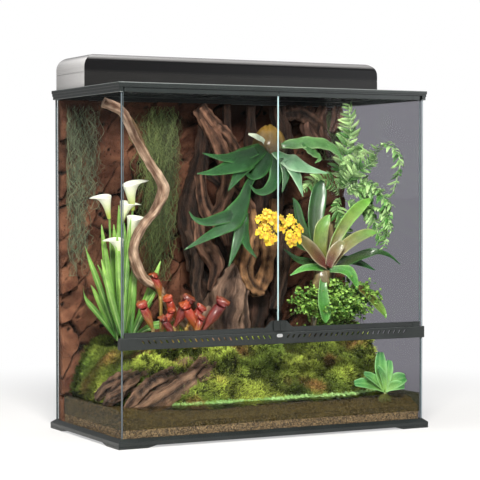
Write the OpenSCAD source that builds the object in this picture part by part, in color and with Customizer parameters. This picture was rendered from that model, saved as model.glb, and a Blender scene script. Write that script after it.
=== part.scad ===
// Tall front-opening glass terrarium with a screen cover and a light hood,
// planted with roots, moss, ferns and flowers above a strip of shallow water.
// Millimetres. Origin at the middle of the footprint, on the floor.
// +Z is up and -Y is the front, with the two doors.

/* [Tank] */
// Width across the outer faces of the side panes
tank_w = 900; // [840:10:1000]
// Depth across the outer faces of the front and back panes
tank_d = 445; // [430:5:520]
// Height of glass that shows between the base frame and the top frame
glass_h = 872; // [820:4:960]
// Thickness of every pane
pane_t = 5; // [4:0.5:5]
// Height of the fixed front pane that shows under the vent strip
lower_glass_h = 223; // [200:1:240]

/* [Base frame] */
// Height of the base frame from the floor to the glass
base_h = 25; // [22:1:32]
// How far the base frame stands out beyond the glass
base_out = 12; // [9:1:16]
// Drop of the sloped top edge of the base frame
base_slope = 9; // [4:1:11]
// Height of the feet under the base frame
foot_h = 6; // [4:1:8]
// Length of each corner foot
foot_len = 80; // [50:5:110]
// Length of the slope at the end of each foot
foot_ramp = 25; // [10:5:40]
// Height of the base frame's inner ledge, on which the panes stand
base_ledge_t = 4; // [3:0.5:6]
// How far the frames' ledges reach in under the glass and the cover
ledge_in = 20; // [19:1:24]

/* [Top frame] */
// How far the top frame stands out beyond the glass
top_out = 8; // [7:1:12]
// Step between the three ridges on the face of the top frame
ridge = 1.5; // [1:0.5:2]
// Thickness of the ledge that carries the screen cover
cover_ledge_t = 3.5; // [3:0.5:5]
// Width of the rear ledge, with room for the cable inlets
rear_ledge = 38; // [38:1:44]
// Width of the rim round the screen cover
rim_w = 3; // [2:0.5:4]

/* [Vent strip and doors] */
// Height of the vent strip
strip_h = 31; // [28:1:36]
// How far the vent strip stands in front of the glass
strip_out = 4.5; // [4:0.5:6]
// Wall of the vent strip
strip_wall = 3; // [2:0.5:3]
// Distance between two vent slots
slot_pitch = 16.5; // [14:0.5:20]
// Width of a vent slot
slot_w = 5.5; // [3:0.5:7]
// Height of a vent slot
slot_h = 8.5; // [6:0.5:9]
// Distance from the middle to the first vent slot
slot_start = 27; // [25:1:40]
// Height of the rails along the top and bottom of a door
rail_h = 12; // [11:0.5:14]
// Thickness of the door rails
rail_t = 10; // [8:0.5:10]
// Gap above, below and beside a closed door
door_gap = 0.5; // [0.4:0.1:0.8]
// Radius of the round hinge end of a door rail
knuckle_r = 6; // [5:0.5:6.5]
// Radius of the hinge pins
pin_r = 2; // [1.5:0.25:2.5]
// Running clearance round the hinge pins and the other shafts
run_clear = 0.05; // [0.02:0.01:0.1]
// Distance from a side pane's outer face to the hinge axis
hinge_in = 14; // [13:0.5:18]
// Reach of the door handle along the rail
handle_len = 44; // [36:1:60]
// Height of the door handle above the rail
handle_rise = 18; // [12:1:26]
// Width of one ribbed finger grip
grip_w = 18; // [12:1:24]
// How far the grips stand in front of the glass
grip_out = 10; // [7:0.5:14]

/* [Lock] */
// Length of the oval lock knob
lock_len = 18; // [14:1:18]
// Width of the oval lock knob
lock_w = 9; // [7:1:10]
// Radius of the lock shaft
lock_shaft_r = 3; // [2.5:0.5:3.5]
// Reach of the locking tongue from the lock's axis
tongue_len = 12.5; // [12:0.5:13]

/* [Screen cover and inlets] */
// Height of the screen cover's frame
cover_h = 8.5; // [7:0.5:12]
// Width of the screen cover's frame
cover_w = 14; // [10:1:15]
// Clearance round the screen cover
cover_gap = 0.5; // [0.3:0.1:0.8]
// Number of mesh openings across the cover
mesh_across = 24; // [12:2:24]
// Number of mesh openings from front to back
mesh_deep = 12; // [6:1:12]
// Width of a mesh wire
wire_w = 1.2; // [0.8:0.1:2]
// Length of a cable inlet
inlet_len = 44; // [30:2:60]
// Width of a cable inlet
inlet_w = 12; // [8:1:12]
// Distance from the middle to each cable inlet
inlet_x = 330; // [200:10:350]

/* [Light hood] */
// Depth of the hood from front to back
hood_d = 200; // [190:5:240]
// Height of the hood
hood_h = 88; // [80:2:110]
// Wall of the hood
hood_wall = 3; // [2:0.5:4]
// Distance from the hood's rear face to the rear pane's outer face
hood_back = 8; // [6:1:20]
// Rounding of the hood's long top edges
hood_edge_r = 20; // [12:1:26]
// Rounding of the hood's top corners, seen from the front
hood_end_r = 34; // [20:1:40]
// Number of lamps under the hood
lamp_count = 4; // [2:1:4]
// Radius of a lamp's glass tubes
lamp_tube_r = 6; // [5:0.5:8]

/* [Planting] */
// Depth of the gravel at the front pane
gravel_d = 33; // [20:1:40]
// Water level above the bottom of the front pane
water_d = 70; // [60:1:80]
// Thickness of the rock background, without its relief
rock_t = 12; // [10:1:20]
// Height of the rock background's relief
rock_relief = 26; // [10:1:28]
// Height of the moss mounds above the water
moss_rise = 155; // [100:5:160]
// Room between soft planting and what it grows on
soft_gap = 0.3; // [0.3:0.1:0.6]

/* [Hidden] */

half_w = tank_w / 2;
half_d = tank_d / 2;
in_x = half_w - pane_t;
in_y = half_d - pane_t;
top_z = base_h + glass_h;
pane_z = foot_h + base_ledge_t;
floor_z = pane_z + pane_t;
channel = rail_h - 2;
recess = cover_h + cover_gap;
ledge_z = rail_h + door_gap;
top_h = ledge_z + cover_ledge_t + recess;
cover_z = top_z + ledge_z + cover_ledge_t;
frame_top = top_z + top_h;
reach = 60;
mitre_in = 50;

strip_z = base_h + lower_glass_h;
strip_top = strip_z + strip_h;
web_z = strip_z + 10;
strip_in = 8;
slot_z = strip_top - 12;
slot_lean = 5.5;
clip_t = 3.5;
clip_len = 12;

door_z = strip_top + door_gap;
door_top = top_z + rail_h;
hinge_x = half_w - hinge_in;
hinge_y = -half_d + pane_t / 2;
rail_bite = 6;
pin_bite = rail_h - rail_bite - 1;
centre_gap = 0.75;
door_turn = 105;

lock_z = strip_top - 9;
lock_y = -half_d - strip_out;
tongue_w = 6;
tongue_t = 3;
tongue_y = hinge_y - tongue_t / 2;
keeper_len = 14;
pocket_h = 5;

mesh_z = cover_z + 2.5;
lip = 3;
inlet_y = half_d - (rear_ledge - cover_w - cover_gap + rim_w) / 2;
slide_t = 2.5;
guide_w = 2.5;

hood_y1 = half_d - hood_back;
hood_y0 = hood_y1 - hood_d;
hood_mid = (hood_y0 + hood_y1) / 2;
hood_top = frame_top + hood_h;
step_z = frame_top + 39.5;
step_out = 0.8;
flange_z = frame_top + 22;
lamp_z = frame_top + 44;
lamp_pitch = (tank_w - 60) / lamp_count;
socket_r = 19;
socket_len = 46;
switch_x = half_w - 90;
switch_z = frame_top + 50;
gland_x = half_w - 45;

gravel_top = base_h + gravel_d;
water_z = base_h + water_d;
rock_y = in_y - rock_t;

// The planting's places are written for a room 890 wide, 435 deep and 872 high, and spread with the tank
function site(p) = [p[0] / 445 * in_x, p[1] / 217.5 * in_y, base_h + (p[2] - 25) / 872 * glass_h];
function sites(list) = [for (p = list) site(p)];

// ---- helpers ----

// Runs a wall profile round the tank with mitred corners, front, right, back, left.
// A profile point is [distance out from the glass, height].
module round_the_tank(profile, sides) {
  for (side = sides) {
    run = side % 2 == 0 ? half_w : half_d;
    off = side % 2 == 0 ? half_d : half_w;
    rotate([0, 0, 90 * side])
      intersection() {
        translate([-run - reach, 0, 0])
          rotate([90, 0, 90])
            linear_extrude(2 * (run + reach))
              polygon([for (p = profile) [-off - p[0], p[1]]]);
        linear_extrude(2 * frame_top)
          polygon([[-run - reach, -off - reach], [run + reach, -off - reach],
                   [run - mitre_in, -off + mitre_in], [-run + mitre_in, -off + mitre_in]]);
      }
  }
}

module block(low, high) {
  translate(low) cube([for (i = [0:2]) high[i] - low[i]]);
}

module both_sides() {
  children();
  mirror([1, 0, 0]) children();
}

// Lies along Y from the named face towards the back
module shaft_y(r, from, to) {
  translate([0, from, 0]) rotate([-90, 0, 0]) cylinder(r = r, h = to - from, $fn = 48);
}

module rounded_top(w, h, r) {
  square([w, h - r]);
  translate([r, 0]) square([w - 2 * r, h]);
  for (x = [r, w - r]) translate([x, h - r]) circle(r, $fn = 96);
}

function unit(v) = v / max(norm(v), 1e-6);

// A point on the smooth curve bent by three control points
function bend(a, b, c, t) = (1 - t) * (1 - t) * a + 2 * t * (1 - t) * b + t * t * c;

// A point on the smooth path through a list of [x, y, z, radius]
function path_at(p, t) =
  let (n = len(p) - 1, i = min(floor(t), n - 1), f = t - i,
       a = p[max(i - 1, 0)], b = p[i], c = p[i + 1], d = p[min(i + 2, n)])
  b + 0.5 * f * (c - a + f * (2 * a - 5 * b + 4 * c - d + f * (3 * (b - c) + d - a)));

// Closed mesh from rings of points, with a fan over each end
module skin(rings) {
  n = len(rings[0]);
  m = len(rings);
  points = concat([for (r = rings) for (p = r) p]);
  sides = [for (i = [0:m - 2]) for (j = [0:n - 1]) for (half = [0, 1])
    let (a = i * n + j, b = i * n + (j + 1) % n, c = a + n, d = b + n)
    half == 0 ? [a, b, c] : [b, d, c]];
  ends = [for (j = [1:n - 2]) for (end = [0, 1])
    end == 0 ? [0, j + 1, j] : [(m - 1) * n, (m - 1) * n + j, (m - 1) * n + j + 1]];
  polyhedron(points = points, faces = concat(sides, ends), convexity = 6);
}

// A root, stem or branch through [x, y, z, radius] points
module limb(p, grow = 0, edges = 6, steps = 2) {
  count = (len(p) - 1) * steps;
  c = [for (k = [0:count]) path_at(p, k / steps)];
  skin([for (k = [0:count])
    let (here = c[k], ahead = c[min(k + 1, count)], behind = c[max(k - 1, 0)],
         way = unit([for (i = [0:2]) ahead[i] - behind[i]]),
         side = unit(cross(way, abs(way[2]) > 0.9 ? [0, 1, 0] : [0, 0, 1])),
         over = cross(side, way))
    [for (e = [0:edges - 1])
      [for (i = [0:2]) here[i] + (here[3] + grow) *
        (cos(360 * e / edges) * side[i] + sin(360 * e / edges) * over[i])]]]);
}

// A leaf from its foot over a bend to its tip, full in its middle and thin at its edges
module leaf(foot, over, tip, wide, thick = 2, lean = [0, 0, 1], full = 1, steps = 5) {
  skin([for (k = [0:steps])
    let (t = k / steps,
         here = bend(foot, over, tip, t),
         way = unit(bend(foot, over, tip, t + 0.02) - bend(foot, over, tip, t - 0.02)),
         side = unit(cross(way, lean)),
         up = cross(side, way),
         w = wide / 2 * (0.16 + 0.84 * pow(sin(180 * (0.04 + 0.9 * pow(t, full))), 0.8)),
         d = thick / 2 * (0.5 + 0.5 * (1 - t)))
    [here + w * side, here + d * up, here - w * side, here - d * up]]);
}

// ---- frames and panes ----

module base_frame() {
  corner = [-half_w - base_out, -half_d - base_out];
  color("#26282b") {
    round_the_tank([[0, base_h], [base_out, base_h - base_slope], [base_out, foot_h + 1],
      [base_out - 1, foot_h], [-ledge_in, foot_h], [-ledge_in, pane_z], [0, pane_z]], [0:3]);
    for (turn_x = [0, 1]) for (turn_y = [0, 1])
      mirror([turn_x, 0, 0]) mirror([0, turn_y, 0]) {
        translate([corner[0], corner[1] + base_out + ledge_in, 0]) rotate([90, 0, 0])
          linear_extrude(base_out + ledge_in) foot_side();
        translate([corner[0], corner[1], 0]) rotate([90, 0, 90])
          linear_extrude(base_out + ledge_in) foot_side();
      }
  }
}

module foot_side() {
  polygon([[1, 0], [foot_len, 0], [foot_len + foot_ramp, foot_h], [0, foot_h], [0, 1]]);
}

module bottom_pane() {
  color("#9fb8b0", 0.4) block([-in_x, -in_y, pane_z], [in_x, in_y, floor_z]);
}

module side_pane() {
  block([-half_w, -half_d, pane_z], [-in_x, half_d, top_z + channel]);
}

module left_pane() {
  color("#bcd4d2", 0.3) side_pane();
}

module right_pane() {
  color("#8d9094", 0.5) mirror([1, 0, 0]) side_pane();
}

module back_pane() {
  color("#bcd4d2", 0.3) block([-in_x, in_y, pane_z], [in_x, half_d, top_z + channel]);
}

module front_lower_pane() {
  color("#bcd4d2", 0.3) block([-in_x, -half_d, pane_z], [in_x, -in_y, web_z]);
}

// Skirt over the glass, three ridges, and the recess and ledge of the screen cover
function top_profile(inward) = let (skirt = top_out - 2 * ridge, inner = -pane_t - 2) [
  [0, 0], [skirt, 0], [skirt, rail_h - 4], [skirt + ridge, rail_h - 2.5],
  [skirt + ridge, ledge_z + 3], [top_out, ledge_z + 3 + ridge], [top_out, top_h],
  [-rim_w, top_h], [-rim_w, top_h - recess], [-inward, top_h - recess], [-inward, ledge_z],
  [inner, ledge_z], [inner, 2], [-pane_t, 2], [-pane_t, channel], [0, channel]];

// The rear side, whose ledge is a piece of its own
function rear_profile() = let (p = top_profile(rear_ledge), inner = -pane_t - 2)
  [for (q = p) [max(q[0], inner), q[1]]];

// The bar over the doors, without the skirt
function bar_profile() = [
  [top_out - ridge, ledge_z], [top_out - ridge, ledge_z + 3], [top_out, ledge_z + 3 + ridge],
  [top_out, top_h], [-rim_w, top_h], [-rim_w, top_h - recess],
  [-ledge_in, top_h - recess], [-ledge_in, ledge_z]];

module top_frame() {
  skirt = top_out - 2 * ridge;
  color("#2a2c2e") difference() {
    union() {
      translate([0, 0, top_z]) {
        round_the_tank(top_profile(ledge_in), [1, 3]);
        round_the_tank(rear_profile(), [2]);
        round_the_tank(bar_profile(), [0]);
        both_sides() block([-half_w - skirt, -half_d - skirt, 0], [-in_x, -half_d, ledge_z]);
      }
    }
    both_sides() translate([-hinge_x, hinge_y, 0]) cylinder(r = pin_r + run_clear, h = cover_z - 0.4, $fn = 48);
  }
}

// Plate between the two side ledges that carries the cover's rear edge and the cable inlets
module rear_ledge() {
  inner = pane_t + 2;
  color("#2a2c2e") {
    difference() {
      translate([0, 0, cover_z - cover_ledge_t]) linear_extrude(cover_ledge_t)
        polygon([for (s = [-1, 1]) for (p = s < 0 ? [[inner, inner], [ledge_in, ledge_in], [ledge_in, rear_ledge]]
            : [[ledge_in, rear_ledge], [ledge_in, ledge_in], [inner, inner]])
          [s * (half_w - p[0]), half_d - p[1]]]);
      both_sides() inlet_hole();
    }
    both_sides() inlet_guides();
  }
}

// Two lipped guides hold each inlet slide down on the rear ledge
module inlet_guides() {
  side_y = inlet_w / 2 + 2.5;
  for (s = [-1, 1]) translate([0, inlet_y + s * side_y, cover_z])
    difference() {
      block([-inlet_x - inlet_len, -guide_w / 2 - 0.5, 0], [-inlet_x + inlet_len * 1.1, guide_w / 2 + 0.5, 6]);
      block([-inlet_x - reach, s > 0 ? -3 : 0, -1], [-inlet_x + reach, s > 0 ? 0 : 3, slide_t + 0.5]);
    }
}

module inlet_hole() {
  block([-inlet_x, inlet_y - inlet_w / 2, cover_z - 8], [-inlet_x + inlet_len, inlet_y + inlet_w / 2, cover_z + 1]);
}

// ---- vent strip, hinges and doors ----

module vent_slot() {
  linear_extrude(2 * strip_out + 4, center = true)
    polygon([[-slot_w / 2 - slot_lean / 2, slot_h / 2], [slot_w / 2 - slot_lean / 2, slot_h / 2],
             [slot_w / 2 + slot_lean / 2, -slot_h / 2], [-slot_w / 2 + slot_lean / 2, -slot_h / 2]]);
}

module vent_strip() {
  slots = floor((in_x - 30 - slot_start) / slot_pitch);
  color("#34373a") difference() {
    union() {
      translate([-half_w - clip_t, 0, 0]) rotate([90, 0, 90]) linear_extrude(tank_w + 2 * clip_t)
        polygon([[-half_d - strip_out, strip_z + 1], [-half_d - strip_out + 1, strip_z],
          [-half_d, strip_z], [-half_d, strip_top], [-half_d - strip_out + 1, strip_top],
          [-half_d - strip_out, strip_top - 1]]);
      rotate([90, 0, 90]) linear_extrude(2 * in_x - 0.4, center = true)
        polygon([[-half_d - 1, web_z], [-in_y, web_z], [-in_y, strip_z + 2], [-in_y + 2.5, strip_z],
          [-in_y + 2.5, web_z + 3], [-half_d - strip_out + strip_wall, web_z + 3],
          [-half_d - strip_out + strip_wall, strip_top - strip_wall],
          [-half_d + strip_in, strip_top - strip_wall],
          [-half_d + strip_in, strip_top], [-half_d - 1, strip_top]]);
      both_sides() {
        block([-half_w - clip_t, -half_d - 1, strip_z + 2], [-half_w, -half_d + clip_len, strip_top - 2]);
        translate([-hinge_x, hinge_y, web_z + 2]) cylinder(r = knuckle_r - 1, h = strip_top - web_z - 2, $fn = 48);
      }
    }
    block([-in_x + 0.2, -half_d - strip_out + strip_wall, web_z + 3],
      [-hinge_x - knuckle_r, -half_d + 2, strip_top - strip_wall]);
    both_sides() {
      for (k = [0:slots - 1])
        translate([-slot_start - k * slot_pitch, -half_d - strip_out, slot_z])
          rotate([90, 0, 0]) vent_slot();
      translate([-hinge_x, hinge_y, web_z + 5])
        cylinder(r = pin_r + run_clear, h = strip_h, $fn = 48);
    }
    translate([0, lock_y, lock_z]) {
      rotate([90, 0, 0]) translate([0, 0, -1]) linear_extrude(10)
        polygon([for (s = [-1, 1]) for (p = [[lock_len * 0.45, -1], [lock_len * 0.78, 0], [lock_len * 0.45, 1]])
          [s * p[0], s * p[1] * (lock_w / 2 + 1.5)]]);
      shaft_y(lock_shaft_r + run_clear, -2, strip_out + 2);
    }
    block([-tongue_w / 2 - 2, tongue_y - 0.8, strip_top - 5], [tongue_len + 1, tongue_y + tongue_t + 0.8, strip_top + 1]);
  }
}

module hinge_pins() {
  color("#b9bcc0") both_sides() {
    translate([-hinge_x, hinge_y, web_z + 6]) cylinder(r = pin_r, h = door_z + pin_bite - web_z - 6, $fn = 48);
    translate([-hinge_x, hinge_y, door_top - pin_bite]) cylinder(r = pin_r, h = cover_z - 0.5 - door_top + pin_bite, $fn = 48);
  }
}

// One door, drawn on the left: glass between two rails with round hinge ends
module door_glass() {
  block([-hinge_x - knuckle_r, -half_d, door_z + rail_h - rail_bite],
    [-centre_gap, -in_y, door_top - rail_h + rail_bite]);
}

module door_rail(low, glass_low, glass_high, end) {
  difference() {
    union() {
      block([-hinge_x, hinge_y - rail_t / 2, low], [-end, hinge_y + rail_t / 2, low + rail_h]);
      translate([-hinge_x, hinge_y, low]) cylinder(r = knuckle_r, h = rail_h, $fn = 64);
      block([-hinge_x, hinge_y - knuckle_r, low], [-hinge_x + 20, hinge_y + knuckle_r, low + rail_h]);
    }
    block([-hinge_x - 2 * knuckle_r, -half_d, glass_low], [0, -in_y, glass_high]);
    translate([-hinge_x, hinge_y, low - 1]) cylinder(r = pin_r + run_clear, h = rail_h + 2, $fn = 48);
  }
}

module bottom_rail() {
  door_rail(door_z, door_z + rail_h - rail_bite, door_z + rail_h + 1, keeper_len);
}

// End of the bottom rail: a channel for the glass above, and one for the lock's tongue below
module door_keeper() {
  difference() {
    block([-keeper_len, hinge_y - rail_t / 2, door_z], [-centre_gap, hinge_y + rail_t / 2, door_z + rail_h]);
    block([-keeper_len - 1, -half_d, door_z - 1], [1, -in_y, door_z + pocket_h]);
    block([-keeper_len - 1, -half_d, door_z + rail_h - rail_bite], [1, -in_y, door_z + rail_h + 1]);
  }
}

module top_rail() {
  door_rail(door_top - rail_h, door_top - rail_h - 1, door_top - rail_h + rail_bite, centre_gap);
}

// Swoop that rises along the rail, with a ribbed grip at the door's free edge
module door_handle() {
  foot_z = door_z + 4;
  rail_z = door_z + rail_h;
  rise = handle_rise;
  run = handle_len - grip_w;
  difference() {
    union() {
      translate([0, -half_d, 0]) rotate([90, 0, 0]) linear_extrude(strip_out - 0.5)
        polygon(concat([[-centre_gap, foot_z], [-centre_gap, rail_z + rise], [-grip_w, rail_z + rise]],
          [for (t = [0:0.125:1]) [-grip_w - run * t, rail_z + rise * (1 + cos(180 * t)) / 2]],
          [[-handle_len, foot_z + 3], [-handle_len + 3, foot_z]]));
      translate([0, -half_d, 0]) rotate([90, 0, 0]) linear_extrude(grip_out)
        polygon([[-centre_gap, foot_z], [-centre_gap, rail_z + rise], [-grip_w + 3, rail_z + rise],
          [-grip_w, rail_z + rise - 3], [-grip_w, foot_z + 2], [-grip_w + 2, foot_z]]);
    }
    block([-2 * handle_len, hinge_y - rail_t / 2, door_z], [0, -half_d + 1, rail_z]);
    for (k = [0:4])
      translate([-centre_gap - 2.4 - k * 3.1, -half_d - grip_out, foot_z + 3])
        cylinder(r = 1, h = rail_z + rise - foot_z, $fn = 24);
  }
}

module left_door_glass() { color("#c4dedc", 0.25) door_glass(); }
module left_door_bottom_rail() { color("#3a3d40") bottom_rail(); }
module left_door_keeper() { color("#3a3d40") door_keeper(); }
module left_door_top_rail() { color("#3a3d40") top_rail(); }
module left_door_handle() { color("#45484b") door_handle(); }
module right_door_glass() { color("#c4dedc", 0.25) mirror([1, 0, 0]) door_glass(); }
module right_door_bottom_rail() { color("#3a3d40") mirror([1, 0, 0]) bottom_rail(); }
module right_door_keeper() { color("#3a3d40") mirror([1, 0, 0]) door_keeper(); }
module right_door_top_rail() { color("#3a3d40") mirror([1, 0, 0]) top_rail(); }
module right_door_handle() { color("#45484b") mirror([1, 0, 0]) door_handle(); }

// ---- lock ----

module lock_knob() {
  knob_y = lock_y - 0.2;
  end = (lock_len - lock_w) / 2;
  color("#d5d7d8") difference() {
    union() {
      translate([0, knob_y, lock_z]) {
        for (s = [-1, 1]) translate([s * end, 0, 0]) shaft_y(lock_w / 2, -3, 0);
        block([-end, -3, -lock_w / 2], [end, 0, lock_w / 2]);
      }
      translate([0, 0, lock_z]) shaft_y(lock_shaft_r, knob_y - 1, tongue_y + tongue_t);
    }
    block([-0.6, knob_y - 4, lock_z - 3], [0.6, knob_y - 1.5, lock_z + 3]);
  }
}

module lock_tongue() {
  color("#a9adb1") difference() {
    union() {
      translate([0, 0, lock_z]) shaft_y(lock_shaft_r + 2, tongue_y, tongue_y + tongue_t);
      block([0, tongue_y, lock_z - tongue_w / 2], [tongue_len, tongue_y + tongue_t, lock_z + tongue_w / 2]);
    }
    translate([0, 0, lock_z]) shaft_y(lock_shaft_r, tongue_y - 1, tongue_y + tongue_t + 1);
  }
}

// ---- screen cover and cable inlets ----

cover_x = half_w - rim_w - cover_gap;
cover_y0 = -half_d + rim_w + cover_gap;
cover_y1 = half_d - rear_ledge + cover_w;

module screen_frame() {
  color("#2b2d2f") {
    translate([0, 0, cover_z]) difference() {
      linear_extrude(cover_h) difference() {
        translate([-cover_x, cover_y0]) square([2 * cover_x, cover_y1 - cover_y0]);
        translate([-cover_x + cover_w, cover_y0 + cover_w])
          square([2 * (cover_x - cover_w), cover_y1 - cover_y0 - 2 * cover_w]);
      }
      both_sides() for (y = [cover_y0 + 60, cover_y1 - 60])
        translate([-cover_x + cover_w / 2, y, cover_h - 1.5]) cylinder(r = 4, h = 2, $fn = 32);
    }
    difference() {
      block([-cover_x + 2, cover_y0 + 2, cover_z], [cover_x - 2, cover_y1 - 2, mesh_z]);
      both_sides() block([-cover_x + cover_w + lip, cover_y0 + cover_w + lip, cover_z - 1],
        [-cover_w / 2, cover_y1 - cover_w - lip, mesh_z + 1]);
    }
  }
}

module screen_mesh() {
  x0 = -cover_x + cover_w + 0.2;
  y0 = cover_y0 + cover_w + 0.2;
  w = -2 * x0;
  d = cover_y1 - cover_w - 0.2 - y0;
  px = (w - wire_w) / mesh_across;
  py = (d - wire_w) / mesh_deep;
  color("#4a4d50") translate([x0, y0, mesh_z]) linear_extrude(1) difference() {
    square([w, d]);
    for (i = [0:mesh_across - 1]) for (j = [0:mesh_deep - 1])
      translate([wire_w + i * px, wire_w + j * py]) square([px - wire_w, py - wire_w]);
  }
}

module inlet_slide() {
  side = inlet_w / 2 + 2.2;
  color("#3c3f42") {
    block([-inlet_x - 3, inlet_y - side, cover_z], [-inlet_x + inlet_len + 3, inlet_y + side, cover_z + slide_t]);
    for (k = [0:3])
      block([-inlet_x + inlet_len / 2 - 8 + 4 * k, inlet_y - 5, cover_z + slide_t],
        [-inlet_x + inlet_len / 2 - 6 + 4 * k, inlet_y + 5, cover_z + slide_t + 1.5]);
  }
}

module left_inlet_slide() { inlet_slide(); }
module right_inlet_slide() { mirror([1, 0, 0]) inlet_slide(); }

// ---- light hood ----

// Rounded box open underneath; cut is how far its surface lies inside the hood's
module hood_form(cut, low) {
  h = hood_top - cut - low;
  intersection() {
    translate([-half_w + cut, 0, low]) rotate([90, 0, 0]) translate([0, 0, -half_d - reach])
      linear_extrude(tank_d + 2 * reach) rounded_top(tank_w - 2 * cut, h, hood_end_r - cut);
    translate([-half_w, hood_y0 + cut, low]) rotate([90, 0, 90])
      linear_extrude(tank_w) rounded_top(hood_d - 2 * cut, h, hood_edge_r - cut);
  }
}

module hood_shell() {
  louvres = 21;
  color("#1d1e20") difference() {
    union() {
      difference() {
        hood_form(0, frame_top);
        hood_form(hood_wall, frame_top - 1);
      }
      for (y = [hood_y0 + 1, hood_y1 - hood_wall - 5])
        block([-half_w + 1, y, flange_z - 3], [half_w - 1, y + hood_wall + 4, flange_z]);
    }
    // A fine groove round the hood, and the louvres and openings in its rear wall
    difference() {
      block([-half_w - 1, hood_y0 - 1, step_z], [half_w + 1, hood_y1 + 1, step_z + 1.2]);
      block([-half_w + step_out, hood_y0 + step_out, step_z - 1],
        [half_w - step_out, hood_y1 - step_out, step_z + 3]);
    }
    for (k = [0:louvres - 1])
      block([-half_w * 0.7 + 24 * k, hood_y1 - hood_wall - 1, hood_top - 32],
        [-half_w * 0.7 + 24 * k + 12, hood_y1 + 1, hood_top - 28]);
    block([switch_x - 11, hood_y1 - hood_wall - 1, switch_z - 7], [switch_x + 11, hood_y1 + 1, switch_z + 7]);
    translate([gland_x, 0, switch_z]) shaft_y(7.2, hood_y1 - hood_wall - 1, hood_y1 + 1);
  }
}

// Folded sheet over the lamps, resting on the hood's two inner rails
module hood_reflector() {
  t = 1.2;
  front = hood_y0 + hood_wall + 0.5;
  back = hood_y1 - hood_wall - 0.5;
  peak = hood_top - hood_wall - 6;
  color("#dfe2e4") difference() {
    translate([0, 0, 0]) rotate([90, 0, 90])
      linear_extrude(tank_w - 2 * hood_wall - 2 * hood_end_r + 20, center = true)
        polygon([[front, flange_z], [front + 12, flange_z], [front + 34, peak - t], [back - 34, peak - t],
          [back - 12, flange_z], [back, flange_z], [back, flange_z + t], [back - 11.4, flange_z + t],
          [back - 33.4, peak], [front + 33.4, peak], [front + 11.4, flange_z + t], [front, flange_z + t]]);
    block([switch_x - 20, hood_y1 - 42, flange_z - 1], [half_w, hood_y1, hood_top]);
  }
}

module at_lamps() {
  for (k = [0:lamp_count - 1])
    translate([(k - (lamp_count - 1) / 2) * lamp_pitch - 60, hood_mid, lamp_z]) rotate([0, 90, 0]) children();
}

module lamp_sockets() {
  peak = hood_top - hood_wall - 6 - 1.2;
  color("#e9e7df") at_lamps() difference() {
    union() {
      cylinder(r = socket_r, h = socket_len, $fn = 64);
      translate([-(peak - lamp_z), -socket_r / 2, 4]) cube([peak - lamp_z, socket_r, socket_len - 12]);
    }
    translate([0, 0, 8]) cylinder(r = 14, h = socket_len, $fn = 64);
  }
}

module lamps() {
  color("#f3f1e8") at_lamps() {
    translate([0, 0, 8.3]) cylinder(r = 13, h = 30, $fn = 48);
    translate([0, 0, 38]) rotate_extrude($fn = 64)
      polygon([[0, 0], [13, 0], [13, 8], [24, 22], [24, 38], [18, 46], [0, 46]]);
    for (k = [0:2]) rotate([0, 0, 120 * k + 30]) for (s = [-1, 1]) translate([14, s * lamp_tube_r * 1.15, 84]) {
      translate([0, 0, -1]) cylinder(r = lamp_tube_r, h = 60, $fn = 32);
      translate([0, 0, 59]) sphere(lamp_tube_r, $fn = 32);
      translate([0, 0, 59]) rotate([s * 90, 0, 0]) cylinder(r = lamp_tube_r * 0.8, h = lamp_tube_r * 1.15, $fn = 32);
    }
  }
}

module switch_housing() {
  color("#141516") difference() {
    union() {
      block([switch_x - 13, hood_y1, switch_z - 9], [switch_x + 13, hood_y1 + 1.5, switch_z + 9]);
      block([switch_x - 10.8, hood_y1 - 16, switch_z - 6.8], [switch_x + 10.8, hood_y1 + 1, switch_z + 6.8]);
    }
    block([switch_x - 9, hood_y1 - 13, switch_z - 5.6], [switch_x + 9, hood_y1 + 4, switch_z + 5.6]);
    translate([switch_x, hood_y1 - 4, switch_z]) rotate([0, 90, 0])
      cylinder(r = 1.2 + run_clear, h = 20.5, center = true, $fn = 32);
  }
}

module hood_switch() {
  color("#2c2e30") translate([switch_x, hood_y1 - 4, switch_z]) {
    rotate([90, 0, 90]) linear_extrude(17.4, center = true)
      polygon([[-5, -3.2], [1.2, -5], [4.6, -4.6], [3.4, 0], [5.2, 4.6], [1.2, 5], [-5, 3.2]]);
    rotate([0, 90, 0]) cylinder(r = 1.2, h = 20, center = true, $fn = 32);
  }
}

module power_gland() {
  color("#1a1b1c") translate([gland_x, 0, switch_z]) difference() {
    union() {
      shaft_y(7, hood_y1 - hood_wall - 4, hood_y1 + 1);
      shaft_y(9.5, hood_y1, hood_y1 + 4);
    }
    shaft_y(3.6, hood_y1 - 10, hood_y1 + 6);
  }
}

// ---- ground ----

// Gravel surface, rising slowly to the back and to the left
function gravel_at(x, y) = gravel_top + (y + in_y) / (2 * in_y) * (10 + 5 * (1 - x / in_x))
  + 1.5 * sin(x * 2.3) * cos(y * 3.1);

// Front edge of the moss, bending back towards both ends
function shore_at(x) = let (s = x / in_x)
  (-165 + 10 * sin(340 * s + 40) + 100 * pow(max(0, s - 0.36) / 0.64, 1.5)
   + 85 * pow(max(0, -s - 0.55) / 0.45, 1.5)) * in_y / 217;

// Height of the moss over the water, across and from the shore to the back
function moss_at(x, v) = let (s = 180 * x / in_x,
    dome = 0.78 + 0.16 * cos(2 * s + 40) + 0.1 * sin(5 * s))
  water_z + 5 + moss_rise * dome * pow(sin(90 * min(1, v * 2.1)), 0.75)
  + 40 * pow(v, 1.5) + 6 * sin(7 * s) * sin(500 * v);

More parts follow.
